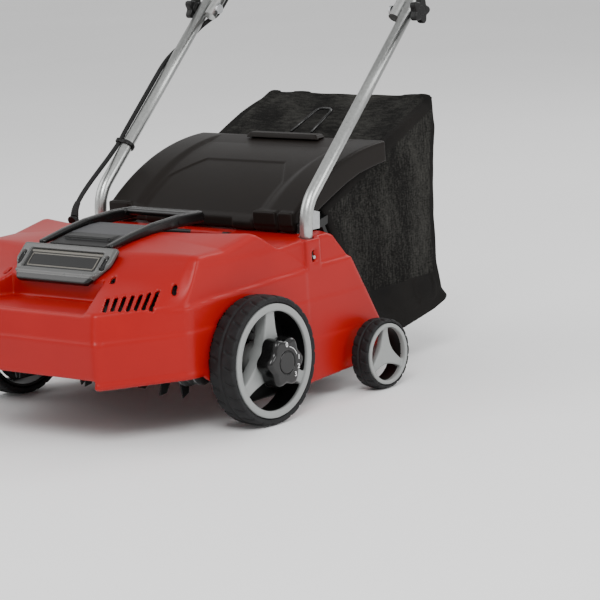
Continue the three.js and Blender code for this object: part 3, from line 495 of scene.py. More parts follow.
def deck_piece():
    """The red moulding: one skin with its openings, sockets, slots and lining, and black painted
    shade behind the front wheels, in the hand recess and on a sheet behind the slots.
    """
    pitch = 2.8
    low, high = (-252, -272, 22), (252, 346, 300)
    X, Y, Z = grid(low, high, pitch)
    side_low = outline_field(Y, Z, DECK_SIDE_LOW)
    side_high = outline_field(Y, Z, DECK_SIDE_HIGH)
    across = np.abs(X)
    slope = -0.147 * (across - 223) + 0.519 * (Y - 43) + 0.842 * (Z - 287)
    middle = np.interp(Y.ravel(), [-170, -121, -70, -24, 10], [232, 273.5, 282, 287, 288])
    edge = np.interp(Y.ravel(), [-130, -92, -32, 44], [268, 272, 272, 288])
    share = np.clip((across - 90) / 140, 0, 1)
    roof = middle.reshape(1, -1, 1) * (1 - share) + edge.reshape(1, -1, 1) * share
    hood = smax(smax(deck_skin(X, Y, Z, side_high), Z - roof, 9), slope, 5)
    outer = evened(smin(hood, deck_skin(X, Y, Z, side_low), 4), pitch)
    crease = np.interp(Y.ravel(), [-128, -70, 11, 164, 166, 176, 178, 270],
                       [199, 204.6, 208.2, 213.6, 213.8, 215.8, 216, 218]).reshape(1, -1, 1)
    above = np.clip((Z - crease) / 1.6 + 0.5, 0, 1) * np.clip((across - 215) / 14, 0, 1)
    outer = outer + 2.6 * above
    hollow = outer + 5.5
    bottom_open = np.roll(hollow, -5, axis=2)
    shell = cut(cut(outer, hollow), smax(bottom_open, Z - 150, 1))
    # lower edge in front, shelf under the bezel
    shell = cut(shell, box_field(X, Y, Z, (-161, -300, 0), (161, -246, 107), 2))
    niche = outline_field(X, Y, [(-150, -280), (150, -280), (98, -162), (-98, -162)])
    niche_box = smax(niche, np.abs(Z - 222) - 18, 2)
    lining = smax(smax(niche - 4, np.abs(Z - 220) - 20, 1), outer, 1)
    shell = cut(np.minimum(shell, lining), niche_box, 2)
    # motor well and hand recess
    shell = cut(shell, box_field(X, Y, Z, (-50, -96, 240), (50, -22, 310)))
    tray = smax(box_field(X, Y, Z, (-80, 12, 236), (80, 158, 300), 4), outer, 1)
    shell = cut(np.minimum(shell, tray), box_field(X, Y, Z, (-76, 16, 240), (76, 154, 330), 6), 2)
    # rear opening to the bag
    shell = cut(shell, box_field(X, Y, Z, (-184, 190, 100), (184, 360, 236), 6), 1)
    # lugs for the hinge pin, and sockets for the tubes
    lug = box_field(across, Y, Z, (200.6, 173, 250), (205.4, 189, 280), 1.5)
    shell = np.minimum(shell, smax(lug, Y + Z - 464, 3))
    shell = cut(shell, disc_field(X, Y, Z, -215, 215, *HINGE, 3.6))
    socket = box_field(across, Y, Z, (206, 152, 208), (237, 188, 259), 3)
    shell = np.minimum(shell, socket)
    bore = rod_field(across, Y, Z, (222, 166.5, 214), (222, 175, 320), 11.2)
    shell = cut(shell, bore, 1.5)
    # axles, bearing and screws
    shell = cut(shell, disc_field(across, Y, Z, 220, 260, *REAR_AXLE, 6.6))
    shell = cut(shell, disc_field(across, Y, Z, 220, 260, *CRANK_PIVOT, 14.4))
    shell = cut(shell, disc_field(X, Y, Z, -260, -228, *ROLLER, 12))
    dish = box_field(across, Y, Z, (233.4, 164.5, 220), (250, 179.5, 242), 6)
    shell = cut(cut(shell, dish, 1.5), disc_field(across, Y, Z, 225, 250, 172, 229, 3.6))
    # cooling slots and screw wells on the hood
    for i in range(7):
        t = i / 6
        foot = np.array([160.8 + 42.8 * t, -230.8 + 55.5 * t, 209 - 1.5 * t])
        head = np.array([139.9 + 51.9 * t, -198.9 + 53.7 * t, 221.3 + 5.4 * t])
        for depth in (0, 3.5, 7):
            down = np.array([-0.25, 0.16, -0.94]) * depth
            slot = rod_field(across, Y, Z, foot + down, head + down, 2.7)
            shell = cut(shell, slot, 0.8)
    for x, y, z in ((112, -157, 238), (211.6, -129.9, 228.6)):
        for depth in (0, 4, 8):
            lower = (x + 2 - 0.2 * depth, y - 4 + 0.2 * depth, z - 3 - depth)
            upper = (x - 2 - 0.2 * depth, y + 4 + 0.2 * depth, z + 3 - depth)
            shell = cut(shell, rod_field(across, Y, Z, lower, upper, 3.6), 0.8)
    groove = rod_field(across, Y, Z, (168, -250.5, 163), (155, -255, 204), 1.6)
    shell = cut(shell, groove, 1)
    # dark sheet behind the cooling slots, painted black by deck_colour as painted shade inside the
    # slots
    slot_shade_sheet = smax(np.abs(below_slots(across, Y, Z) + 13) - 1.6, outer + 2, 0.5)
    slot_shade_sheet = smax(slot_shade_sheet, box_field(across, Y, Z, (118, -246, 150), (222, -122, 260), 3), 1)
    slot_shade_sheet = smax(slot_shade_sheet, 0.79 * across - 0.61 * Y - 266, 1)
    slot_shade_sheet = smax(slot_shade_sheet, 8 - niche, 1)
    shell = np.minimum(shell, slot_shade_sheet)
    mesh_of(
        "deck_moulding", shell, low, pitch, [MATERIALS["red_plastic"], MATERIALS["black_plastic"]],
        "deck", ["deck_housing"], deck_colour,
    )


def below_slots(across, y, z):
    """Height above the slope that the cooling slots lie in."""
    return 0.25 * (across - 175) - 0.16 * (y + 187) + 0.94 * (z - 216)


def deck_colour(x, y, z):
    """Painted shade in black behind the front wheels, in the hand recess and on the sheet behind
    the slots; black also on the lugs.
    """
    across = np.abs(x)
    # painted shade of the wheel arch: black on the side wall behind each front wheel
    wheel = (across > 231) & (np.hypot(y - FRONT_AXLE[0], z - FRONT_AXLE[1]) < 94)
    # painted shade in the hand recess, except a red patch on its rear wall
    recess_shade = (across < 79) & (y > 13) & (y < 157) & (z > 237) & (z < 283)
    patch = (x > -6) & (x < 60) & (z < 277) & (y > 147)
    # painted shade on the dark sheet behind the cooling slots
    height = below_slots(across, y, z)
    slot_shade_sheet = (height < -10.5) & (height > -16) & (across > 118) & (across < 222)
    slot_shade_sheet = slot_shade_sheet & (y > -246) & (y < -122) & (0.79 * across - 0.61 * y < 264)
    slot_shade_sheet = slot_shade_sheet & (across > 156 - 0.44 * (y + 280))
    lug = (across > 198) & (across < 207) & (y > 170) & (y < 191) & (z > 264)
    return wheel | (recess_shade & ~patch) | slot_shade_sheet | lug


# ---------------------------------------------------------------- hood trim
def slope_frame(Y, Z):
    """Distances up the bezel's slope and square to it, from the middle of its seat."""
    return (Y + 144) * 0.736 + (Z - 256) * 0.677, (Z - 256) * 0.736 - (Y + 144) * 0.677


def bezel_piece():
    """The grey frame round the badge, with a well at each end."""
    pitch = 1.4
    low, high = (-104, -184, 218), (104, -112, 288)
    X, Y, Z = grid(low, high, pitch)
    up, out = slope_frame(Y, Z)
    plate = box_field(X, up, out, (-100, -40, -1), (100, 30, 9), 3)
    plate = smax(plate, (out - 9 - (up + 40) * 0.35) * 0.94, 3)
    plate = smax(plate, (np.abs(X) + np.maximum(-up, 0) * 0.62 - 100) * 0.88, 6)
    window = box_field(X, up, out, (-77.5, -16.5, 3), (77.5, 19.5, 30), 3)
    plate = cut(plate, window, 1.5)
    for side in (-1, 1):
        well = rod_field(X, up, out, (side * 88, -8, 8), (side * 88, 9, 8), 5)
        plate = cut(plate, well, 1.5)
    lip = box_field(X, up, out, (-84, -27, 7), (84, -22, 10.4), 1.2)

    def pick(x, y, z):
        up_here, out_here = slope_frame(y, z)
        across = np.abs(x)
        well = (np.hypot(across - 88, np.maximum(np.abs(up_here) - 8, 0)) < 4.9) & (out_here < 8)
        return well | (up_here < -29.5) | (out_here < 1.5)

    mesh_of(
        "bezel", smin(plate, lip, 2), low, pitch,
        [MATERIALS["bezel_grey"], MATERIALS["black_gloss"]], "deck", ["front_bezel"], pick,
    )


def badge_piece():
    """The blank badge plate with its raised rim."""
    pitch = 1.1
    low, high = (-80, -172, 240), (80, -124, 284)
    X, Y, Z = grid(low, high, pitch)
    up, out = slope_frame(Y, Z)
    plate = box_field(X, up, out, (-76.5, -15.5, 3.2), (76.5, 18.5, 5.6), 1)
    rim = cut(
        box_field(X, up, out, (-71, -12, 4), (71, 12, 6.6), 1),
        box_field(X, up, out, (-69.4, -10.4, 3), (69.4, 10.4, 9), 1),
    )
    strip = box_field(X, up, out, (-76, 14, 4), (76, 18, 6.8), 1)

    def pick(x, y, z):
        up_here, out_here = slope_frame(y, z)
        return out_here > 5.9

    mesh_of(
        "badge", smin(np.minimum(plate, rim), strip, 0.5), low, pitch,
        [MATERIALS["black_plastic"], MATERIALS["warm_grey"]], "deck", ["badge_plate"], pick,
    )


def cover_piece():
    """The lid over the motor."""
    pitch = 1.6
    low, high = (-66, -120, 258), (66, 6, 300)
    X, Y, Z = grid(low, high, pitch)
    outline = [(-113, 276.5), (-70, 285.5), (-24, 291), (0, 291.5), (0, 295), (-24, 294.6),
               (-70, 289), (-114, 280)]
    lid = smax(outline_field(Y, Z, outline) - 0.6, np.abs(X) - 61, 3)
    plug = cut(
        box_field(X, Y, Z, (-48, -94, 263), (48, -24, 290), 2),
        box_field(X, Y, Z, (-44, -90, 250), (44, -28, 283), 2),
    )
    step = rod_field(X, Y, Z, (-60, -66, 290.6), (60, -66, 290.6), 1.1)
    lid = cut(lid, step, 0.6)
    mesh_of(
        "cover", smin(lid, plug, 2), low, pitch,
        [MATERIALS["grey_plastic"], MATERIALS["black_plastic"]], "deck", ["motor_cover"],
        lambda x, y, z: y < -66,
    )


def carry_handle_piece():
    """Two rails over the deck, with a bar across their rear."""
    pitch = 1.5
    low, high = (-82, -126, 276), (82, 102, 311)
    X, Y, Z = grid(low, high, pitch)
    across = np.abs(X)
    rail = [(-121, 277), (-70, 283), (-24, 286.5), (3, 287.3), (60, 287.6), (96, 287.6),
            (98.5, 300), (92, 306.5), (40, 307.5), (-20, 303.5), (-70, 295.5), (-121, 285)]
    rails = smax(outline_field(Y, Z, rail), np.abs(across - 72) - 6, 4)
    bar = smax(box_field(X, Y, Z, (-72, 68, 296), (72, 97, 306.3), 4.5), 0.18 * (97 - Y) - 9, 1)
    rib = box_field(X, Y, Z, (-68, 79, 303), (68, 81, 307.4), 0.9)
    foot = box_field(across, Y, Z, (66.5, 20, 288.3), (77.5, 34, 298), 2)
    body = smin(smin(rails, bar, 3), np.minimum(foot, rib), 2)
    mesh_of(
        "carry_handle_moulding", body, low, pitch, [MATERIALS["black_gloss"]], "deck",
        ["carry_handle"],
    )


# ---------------------------------------------------------------- rear flap
def flap_curve():
    """The flap's skin seen from the side: depths behind the front axle, and heights."""
    t = np.linspace(0, 1, 200)
    y = (1 - t) ** 2 * 173 + 2 * t * (1 - t) * 277 + t * t * 412
    z = (1 - t) ** 2 * 291 + 2 * t * (1 - t) * 374 + t * t * 377
    return y, z


def flap_piece():
    """The curved flap with its raised edges, sunk panel and hinge knuckles."""
    pitch = 2.1
    low, high = (-206, 160, 260), (206, 420, 394)
    X, Y, Z = grid(low, high, pitch)
    across = np.abs(X)
    y, z = flap_curve()
    steep = np.gradient(z, y)
    height = np.interp(Y.ravel(), y, z).reshape(1, -1, 1)
    level = (1 / np.sqrt(1 + np.interp(Y.ravel(), y, steep) ** 2)).reshape(1, -1, 1)
    inner_edge = np.interp(Y.ravel(), [190, 400], [122, 141]).reshape(1, -1, 1)
    fade = np.clip((404 - Y) / 40, 0, 1)
    ramp = np.clip((across - inner_edge) / (148 - inner_edge), 0, 1)
    ramp = ramp * ramp * (3 - 2 * ramp)
    panel_top = 294 - np.clip((across - 84) * 1.4, 0, 60)
    inside = np.clip((panel_top - Y) / 3, 0, 1) * np.clip((126 - across) / 8, 0, 1)
    raised = 4.6 - (1 - ramp) * 4.6 * fade - 1.8 * inside
    top = (Z - height - raised) * level
    outer = smax(smax(top, 171 - Y, 7), across - 200, 6)
    outer = smax(outer, Y - 412, 3)
    skirt = np.interp(
        Y.ravel(),
        [171, 192, 240, 273, 307, 340, 374, 409, 412],
        [268, 271, 296, 311, 325, 336, 342, 347, 347],
    ).reshape(1, -1, 1)
    hollow = smax(smax(top + 3.4, 174.5 - Y, 4), across - 196.6, 3)
    shell = smax(smax(outer, -hollow, 0.5), skirt - Z, 1.5)
    # hinge knuckles: barrels round the pin with a block above them
    for x0, x1 in ((-198, -152), (-118, -70), (70, 112), (116, 163), (169, 198)):
        knuckle = disc_field(X, Y, Z, x0, x1, *HINGE, 11.6, 3)
        if x0 > 112 or x0 < -150:
            block = box_field(X, Y, Z, (x0, 166, 275), (x1, 184, 298), 3)
            knuckle = smin(knuckle, block, 1)
        shell = smin(shell, knuckle, 2)
    shell = cut(shell, disc_field(X, Y, Z, -210, 210, *HINGE, 3.5), 0.4)
    shell = cut(shell, box_field(X, Y, Z, (9, 176, 262), (33, 190, 284), 1))
    mesh_of(
        "flap_moulding", shell, low, pitch, [MATERIALS["hood_plastic"]], "flap", ["rear_flap"]
    )


def flap_grip_piece():
    """The bar on the flap's upper edge."""
    pitch = 1.2
    low, high = (-84, 380, 374), (84, 412, 394)
    X, Y, Z = grid(low, high, pitch)
    bar = box_field(X, Y, Z, (-80, 385, 377.4), (80, 407, 389), 2)
    bar = smax(bar, (np.abs(X) + (Z - 378) * 0.75 - 80) * 0.8, 2)
    bar = smax(bar, (385 - Y + (Z - 380) * 0.35), 2)
    y, z = flap_curve()
    height = np.interp(Y.ravel(), y, z).reshape(1, -1, 1)
    bar = smax(bar, height + 5.1 - Z, 0.5)
    mesh_of(
        "flap_grip_moulding", bar, low, pitch, [MATERIALS["hood_plastic"]], "flap", ["flap_grip"]
    )


# ---------------------------------------------------------------- wheels and dial
def around(Y, Z, y, z):
    """Distance from an axle, and the angle from straight up towards the rear."""
    return np.hypot(Y - y, Z - z), np.arctan2(Y - y, Z - z)


def tyre_piece(name, node, body, side, inner, outer, radius, rim, y, z, blocks):
    """A tyre with grooves across its shoulders and one round its middle."""
    pitch = 1.6
    low = (min(side * inner, side * outer) - 3, y - radius - 4, z - radius - 4)
    high = (max(side * inner, side * outer) + 3, y + radius + 4, z + radius + 4)
    X, Y, Z = grid(low, high, pitch)
    r, angle = around(Y, Z, y, z)
    across = np.abs(X)
    middle, half = (inner + outer) / 2, (outer - inner) / 2
    u = (across - middle) / half
    wave = np.cos(blocks * (angle + 0.10 * np.sin(1.6 * u)))
    gap = np.clip((wave - 0.80) / 0.12, 0, 1) * np.clip((np.abs(u) - 0.22) / 0.1, 0, 1)
    centre_gap = np.clip((0.10 - np.abs(u)) / 0.05, 0, 1) * 0.8
    tread = r - radius + 1.9 * np.maximum(gap, centre_gap) + 1.6 * u * u
    body_field = smax(smax(tread, rim + 0.2 - r, 1), np.abs(across - middle) - half + 0.2, 4)
    bead = np.hypot(r - rim - 3.5, across - outer + 0.6) - 1.0
    body_field = smax(body_field, -bead, 0.6)
    mesh_of(
        name, body_field, low, pitch, [MATERIALS["tyre_rubber"]], body, [node]
    )


def rim_piece(name, node, body, side, inner, outer, radius, hub, bore, half, collar, y, z):
    """Three-spoked rim, pale on the outside, with painted shade in black on the inboard part of its
    band; bore is the axle's radius.
    """
    pitch = 1.5
    reach = radius + 4
    low = (min(side * (collar - 2), side * (outer + 4)), y - reach, z - reach)
    high = (max(side * (collar - 2), side * (outer + 4)), y + reach, z + reach)
    X, Y, Z = grid(low, high, pitch)
    r, _ = around(Y, Z, y, z)
    across = np.abs(X)
    middle, half_band, thick = (inner + outer) / 2, 23.5, 11
    if outer - inner < 40:
        middle, half_band, thick = 268.2, 16.5, 5.5
    band = smax(np.abs(r - radius + 3.2) - 2.4, np.abs(across - middle) - half_band, 1)
    lip = smax(np.abs(r - radius * 0.93) - radius * 0.063, np.abs(across - outer + 3) - 3.6, 2.5)
    wheel = smin(band, lip, 2)
    for k in range(3):
        turn = 2 * math.pi * k / 3
        along = (Y - y) * math.sin(turn) + (Z - z) * math.cos(turn)
        beside = np.abs((Y - y) * math.cos(turn) - (Z - z) * math.sin(turn))
        width = half + half * 1.7 * np.clip(1 - along / (radius * 0.8), 0, 1) ** 1.5
        dish = 0.04 * np.clip(radius - along, 0, None)
        plate = np.abs(across - outer + 3.5 + thick + dish) - thick
        spoke = smax(smax(beside - width, along - radius * 0.93, 2), -along - hub * 0.4, 2)
        wheel = smin(wheel, smax(spoke, plate, 2.5), 2.5)
    barrel = smax(r - hub * 0.72, np.abs(across - (inner + 4 + outer - 8) / 2)
                  - (outer - inner - 12) / 2, 2)
    middle, half_tube = (collar + inner + 6) / 2, (inner + 6 - collar) / 2
    tube = smax(r - bore - 5, np.abs(across - middle) - half_tube, 1)
    wheel = smin(smin(wheel, barrel, 3), tube, 1)
    wheel = smax(wheel, smin(bore - r, -(across - outer + 7), 0.6), 0.6)

    def pick(x, y_at, z_at):
        # painted shade: black on the inboard part of the band, seen through the spokes
        radius_at = np.hypot(y_at - y, z_at - z)
        return (np.abs(x) < outer - 9) & (radius_at > radius - 6.5)

    mesh_of(
        name, wheel, low, pitch, [MATERIALS["light_grey_plastic"], MATERIALS["black_plastic"]],
        body, [node], pick,
    )


def wheels():
    """Both pairs of tyres and rims."""
    for word, side in (("right", 1), ("left", -1)):
        front = "front_wheel_" + word
        rear = "rear_wheel_" + word
        tyre_piece("front_tread_" + word, "front_tyre_" + word, front, side,
                   241, 290, 100, 88.7, *FRONT_AXLE, 26)
        rim_piece("front_spokes_" + word, "front_rim_" + word, front, side,
                  241, 290, 88.2, 40, 8.4, 10, 245, *FRONT_AXLE)
        tyre_piece("rear_tread_" + word, "rear_tyre_" + word, rear, side,
                   251, 285, 56.8, 49.8, *REAR_AXLE, 20)
        rim_piece("rear_spokes_" + word, "rear_rim_" + word, rear, side,
                  251, 285, 49.2, 17, 6.4, 6.5, 239.2, *REAR_AXLE)


def dial_piece():
    """The six-lobed depth dial."""
    pitch = 1.0
    low, high = (280, -46, 54), (320, 46, 146)
    X, Y, Z = grid(low, high, pitch)
    r, angle = around(Y, Z, *FRONT_AXLE)
    lobes = 37.4 + 3.4 * np.cos(6 * (angle + 0.5)) - 0.10 * (X - 300)
    knob = smax((r - lobes) * 0.98, np.abs(X - 300.2) - 14.6, 7)
    ring = smax(np.abs(r - 17.5) - 0.7, 312.6 - X, 0.3)
    knob = cut(knob, ring, 0.5)
    mesh_of(
        "dial_knob", knob, low, pitch, [MATERIALS["black_gloss"]], "depth_axle",
        ["depth_dial", "dial_cap"],
    )


def dial_marks():
    """Figures 0 to 3 and an arc from 0 to 1 on the face of the dial."""
    face = 315.0
    for figure, degrees in (("0", 0), ("1", 82), ("2", 112), ("3", 141)):
        turn = math.radians(degrees)
        text = bpy.data.curves.new("figure_" + figure, "FONT")
        text.body = figure
        text.size = 0.0105
        text.extrude = 0.0003
        text.align_x = "CENTER"
        text.align_y = "CENTER"
        mark = bpy.data.objects.new("figure_" + figure, text)
        bpy.context.scene.collection.objects.link(mark)
        mark.matrix_world = Matrix.Translation(
            at(face + 0.1, 27 * math.sin(turn), 100 + 27 * math.cos(turn))
        ) @ Matrix(((0, 0, 1, 0), (1, 0, 0, 0), (0, 1, 0, 0), (0, 0, 0, 1)))
        text.materials.append(MATERIALS["mark_white"])
        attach(mark, "depth_axle")
    path = [
        at(face + 0.1, 24 * math.sin(a), 100 + 24 * math.cos(a))
        for a in np.linspace(math.radians(14), math.radians(68), 16)
    ]
    sweep("dial_arc", path, 0.00055, MATERIALS["mark_white"], "depth_axle", sides=6)


# ---------------------------------------------------------------- tubes and leads
def sweep(name, path, radius, material, body, stands_for=(), sides=24):
    """A round rod along a path of points, with closed ends."""
    count = len(path)
    radii = radius if isinstance(radius, list) else [radius] * count
    ring_points = []
    normal = None
    for i, point in enumerate(path):
        before, after = path[max(i - 1, 0)], path[min(i + 1, count - 1)]
        tangent = (after - before).normalized()
        if normal is None:
            normal = tangent.cross(Vector((1, 0, 0)))
            if normal.length < 0.1:
                normal = tangent.cross(Vector((0, 1, 0)))
        normal = (normal - tangent * normal.dot(tangent)).normalized()
        other = tangent.cross(normal)
        ring_points.append(
            [
                point + (normal * math.cos(a) + other * math.sin(a)) * radii[i]
                for a in (2 * math.pi * k / sides for k in range(sides))
            ]
        )
    work = bmesh.new()
    rings = [[work.verts.new(p) for p in row] for row in ring_points]
    for a, b in zip(rings, rings[1:]):
        for k in range(sides):
            n = (k + 1) % sides
            work.faces.new((a[k], a[n], b[n], b[k]))
    work.faces.new(reversed(rings[0]))
    work.faces.new(rings[-1])
    bmesh.ops.recalc_face_normals(work, faces=work.faces)
    for face in work.faces:
        face.smooth = len(face.verts) == 4
    mesh = bpy.data.meshes.new(name)
    work.to_mesh(mesh)
    work.free()
    mesh.materials.append(material)
    piece = bpy.data.objects.new(name, mesh)
    bpy.context.scene.collection.objects.link(piece)
    if body:
        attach(piece, body)
    if stands_for:
        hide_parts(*stands_for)
    return piece


HANDLE_ANGLE = math.radians(44.1)


def on_handle(x, along, across):
    """A point beside the sloping handle: along it from the bend of its foot, and square to it."""
    y = HANDLE_BEND[0] + along * math.cos(HANDLE_ANGLE) - across * math.sin(HANDLE_ANGLE)
    z = HANDLE_BEND[1] + along * math.sin(HANDLE_ANGLE) + across * math.cos(HANDLE_ANGLE)
    return at(x, y, z)


def bend(before, corner, after, reach, steps=12):
    """Points that round a corner, starting `reach` before it."""
    start = corner + (before - corner).normalized() * reach
    end = corner + (after - corner).normalized() * reach
    return [
        start * (1 - t) ** 2 + corner * 2 * t * (1 - t) + end * t * t
        for t in (i / steps for i in range(steps + 1))
    ]


def smooth_path(points, steps=8):
    """A Catmull-Rom curve through the points."""
    rows = [points[0] * 2 - points[1]] + list(points) + [points[-1] * 2 - points[-2]]
    path = []
    for a, b, c, d in zip(rows, rows[1:], rows[2:], rows[3:]):
        for i in range(steps):
            t = i / steps
            path.append(
                0.5 * ((2 * b) + (c - a) * t + (2 * a - 5 * b + 4 * c - d) * t * t
                       + (3 * b - a - 3 * c + d) * t ** 3)
            )
    return path + [points[-1]]


def tubes():
    """The two bent feet of the handle and its upper bow."""
    for word, side in (("right", 1), ("left", -1)):
        foot = at(side * TUBE_X, HANDLE_BEND[0] - 92.9 * 0.085, 217)
        corner = at(side * TUBE_X, *HANDLE_BEND)
        end = on_handle(side * TUBE_X, 416, 0)
        path = [foot] + bend(foot, corner, end, 0.026) + [end]
        sweep("handle_foot_" + word, path, TUBE_RADIUS, MATERIALS["tube_metal"], "deck",
              ["lower_tube_" + word], 32)
    start, finish = on_handle(BOW_X, 384, 0), on_handle(-BOW_X, 384, 0)
    right, left = on_handle(BOW_X, 900, 0), on_handle(-BOW_X, 900, 0)
    path = [start] + bend(start, right, left, 0.062, 16) + bend(right, left, finish, 0.062, 16)
    sweep("handle_bow", path + [finish], TUBE_RADIUS, MATERIALS["tube_metal"], "handle",
          ["upper_handle"], 32)


def motor_lead():
    """The lead from the deck, up the left tube, past the fold and into the switch box."""
    gland, clip = at(-190, 76, 284), on_handle(-232.5, 97, 9.6)
    first, second = at(-199, 84, 312), at(-226, 184, 345)
    points = []
    for i in range(7):
        t = i / 6
        points.append(
            gland * (1 - t) ** 3 + first * 3 * t * (1 - t) ** 2
            + second * 3 * t * t * (1 - t) + clip * t ** 3
        )
    for along, turn in ((125, -46), (180, -50), (230, -48), (270, -30), (300, 0), (325, 30),
                        (348, 58), (370, 80)):
        a = math.radians(turn)
        points.append(on_handle(-TUBE_X - 14.6 * math.cos(a), along, -14.6 * math.sin(a)))
    points += [on_handle(-214, 392, -17), on_handle(-205, 404, -17), on_handle(-201, 440, -15)]
    points += [on_handle(-BOW_X, along, -15) for along in (520, 620, 709.4)]
    lead = sweep("motor_lead", smooth_path(points), LEAD_RADIUS, MATERIALS["rubber"], None,
                 ["cable_lower", "cable_upper"], 14)
    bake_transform(lead)
    root = [p for p in smooth_path(points, 20) if (p - gland).length < 0.03]
    strain_relief("gland_sleeve", root, "deck")
    end = [on_handle(-BOW_X, 710 - 1.3 * i, -15) for i in range(24)]
    strain_relief("switch_sleeve", end, "handle")


def strain_relief(name, path, body):
    """A ribbed rubber sleeve that tapers along the lead, thick end first."""
    count = len(path)
    radii = [
        0.0068 - 0.0022 * i / (count - 1) + (0.0004 if i % 4 < 2 else -0.0004)
        for i in range(count)
    ]
    sweep(name, path, radii, MATERIALS["rubber"], body, sides=18)


def wire_loop():
    """The wire loop on top of the bag."""
    front, rear = (438, 384.5), (508, 416.5)
    a, b = at(-22, *front), at(-16, *rear)
    c, d = at(16, *rear), at(22, *front)
    path = [a] + bend(a, b, c, 0.014) + bend(b, c, d, 0.014) + [d]
    sweep("wire_handle", path, 0.0022, MATERIALS["black_gloss"], "loop", ["bag_loop"], 12)


def lead_clip():
    """One band round the tube and a smaller one round the lead, joined by a web."""
    pitch = 0.8
    centre = on_handle(-TUBE_X, 100, 0) * 1000
    centre.y += SHIFT * 1000
    low = (-246, centre.y - 20, centre.z - 20)
    high = (-206, centre.y + 20, centre.z + 20)
    X, Y, Z = grid(low, high, pitch)
    along = (Y - centre.y) * math.cos(HANDLE_ANGLE) + (Z - centre.z) * math.sin(HANDLE_ANGLE)
    square = (Z - centre.z) * math.cos(HANDLE_ANGLE) - (Y - centre.y) * math.sin(HANDLE_ANGLE)
    reach = np.hypot(X + TUBE_X, square)
    big = smax(reach - 13.2, 10.6 - reach, 0.5)
    ring = np.hypot(X + 232.4, square - 10.2)
    small = smax(ring - 6.6, 4.2 - ring, 0.5)
    body = smax(smin(big, small, 1.5), np.abs(along) - 3.4, 1)
    mesh_of(
        "lead_clip", body, low, pitch, [MATERIALS["black_plastic"]], "deck", ["cable_clip"]
    )


# ---------------------------------------------------------------- switch, lever and knobs
def handle_frame(Y, Z):
    """Distances along the sloping handle and square to it, as in on_handle."""
    y, z = Y - HANDLE_BEND[0], Z - HANDLE_BEND[1]
    cosine, sine = math.cos(HANDLE_ANGLE), math.sin(HANDLE_ANGLE)
    return y * cosine + z * sine, z * cosine - y * sine


def handle_grid(x0, x1, start, end, under, over, pitch):
    """A grid that holds a block of the handle's frame."""
    corners = [on_handle(0, a, s) * 1000 for a in (start, end) for s in (under, over)]
    ys = [c.y + SHIFT * 1000 for c in corners]
    zs = [c.z for c in corners]
    low = (x0 - 3, min(ys) - 3, min(zs) - 3)
    high = (x1 + 3, max(ys) + 3, max(zs) + 3)
    X, Y, Z = grid(low, high, pitch)
    along, square = handle_frame(Y, Z)
    return low, X, along, square


def switch_piece():
    """The switch housing, with its seam, button well, screw wells and ribs."""
    pitch = 1.1
    low, X, along, square = handle_grid(-223, -176, 709, 816, -21, 27, pitch)
    box = box_field(X, along, square, (-222.5, 710, -20), (-176.5, 815, 26), 7)
    box = smax(box, (square - 26) * 0.9 + (along - 797) * 0.42, 4)
    seam = smax(np.abs(X + BOW_X) - 0.6, -(box + 1.1), 0.3)
    box = cut(box, seam, 0.4)
    panel = box_field(X, along, square, (-212, 766, 24.6), (-189, 796, 40), 4)
    box = cut(box, panel, 0.8)
    box = cut(box, box_field(X, along, square, (-216, 700, 11), (-195, 726, 26.5), 2), 1)
    for a in (722, 803):
        for q in (-13, 14):
            well = rod_field(X, along, square, (-226, a, q), (-219, a, q), 3.2)
            box = cut(box, well, 0.6)
    for i in range(5):
        rib = box_field(X, along, square, (-224, 744 + i * 7, -12), (-221.6, 747 + i * 7, 14), 0.8)
        box = cut(box, rib, 0.5)
    mesh_of(
        "switch_housing", box, low, pitch, [MATERIALS["black_plastic"]], "handle", ["switch_box"]
    )


def bracket_piece():
    """The clamp that carries the right end of the lever."""
    pitch = 1.0
    low, X, along, square = handle_grid(184, 217, 725, 755, -17, 17, pitch)
    clamp = box_field(X, along, square, (184.5, 726, -16), (216.5, 754, 16), 7)
    slit = box_field(X, along, square, (206, 720, -0.9), (220, 760, 0.9), 0.4)
    clamp = cut(clamp, slit, 0.4)
    screw = rod_field(X, along, square, (214, 740, 8), (214, 740, 20), 3)
    clamp = cut(clamp, screw, 0.5)
    mesh_of(
        "lever_clamp", clamp, low, pitch, [MATERIALS["black_plastic"]], "handle",
        ["lever_bracket"],
    )


def knob_piece(word, side):
    """A five-lobed knob at the handle's fold."""
    pitch = 0.8
    y, z = FOLD
    low = (min(side * 232, side * 252), y - 25, z - 25)
    high = (max(side * 232, side * 252), y + 25, z + 25)
    X, Y, Z = grid(low, high, pitch)
    across = np.abs(X)
    r, angle = around(Y, Z, y, z)
    lobes = 18.6 + 3.4 * np.cos(5 * (angle - math.pi / 2))
    head = smax((r - lobes) * 0.95, np.abs(across - 244.1) - 6.4, 3.5)
    dimple = smax(np.abs(r - 8.2) - 0.6, 249.6 - across, 0.3)
    head = cut(head, dimple, 0.4)
    neck = smax(r - 10, np.abs(across - 236) - 3.3, 1)
    mesh_of(
        "knob_moulding_" + word, smin(head, neck, 2), low, pitch, [MATERIALS["black_plastic"]],
        "knob_" + word, ["star_knob_" + word],
    )


def hub_cap_piece():
    """The plain cap at the left end of the front axle."""
    pitch = 1.2
    low, high = (-319, -38, 62), (-280, 38, 138)
    X, Y, Z = grid(low, high, pitch)
    r, _ = around(Y, Z, *FRONT_AXLE)
    cap = smax(r - 33.6 - 0.16 * (X + 284), np.abs(X + 299.8) - 15.6, 6)
    ring = smax(np.abs(r - 20) - 0.8, X + 313.4, 0.3)
    mesh_of(
        "left_hub_cap", cut(cap, ring, 0.5), low, pitch, [MATERIALS["black_gloss"]],
        "depth_axle", ["hub_cap"],
    )


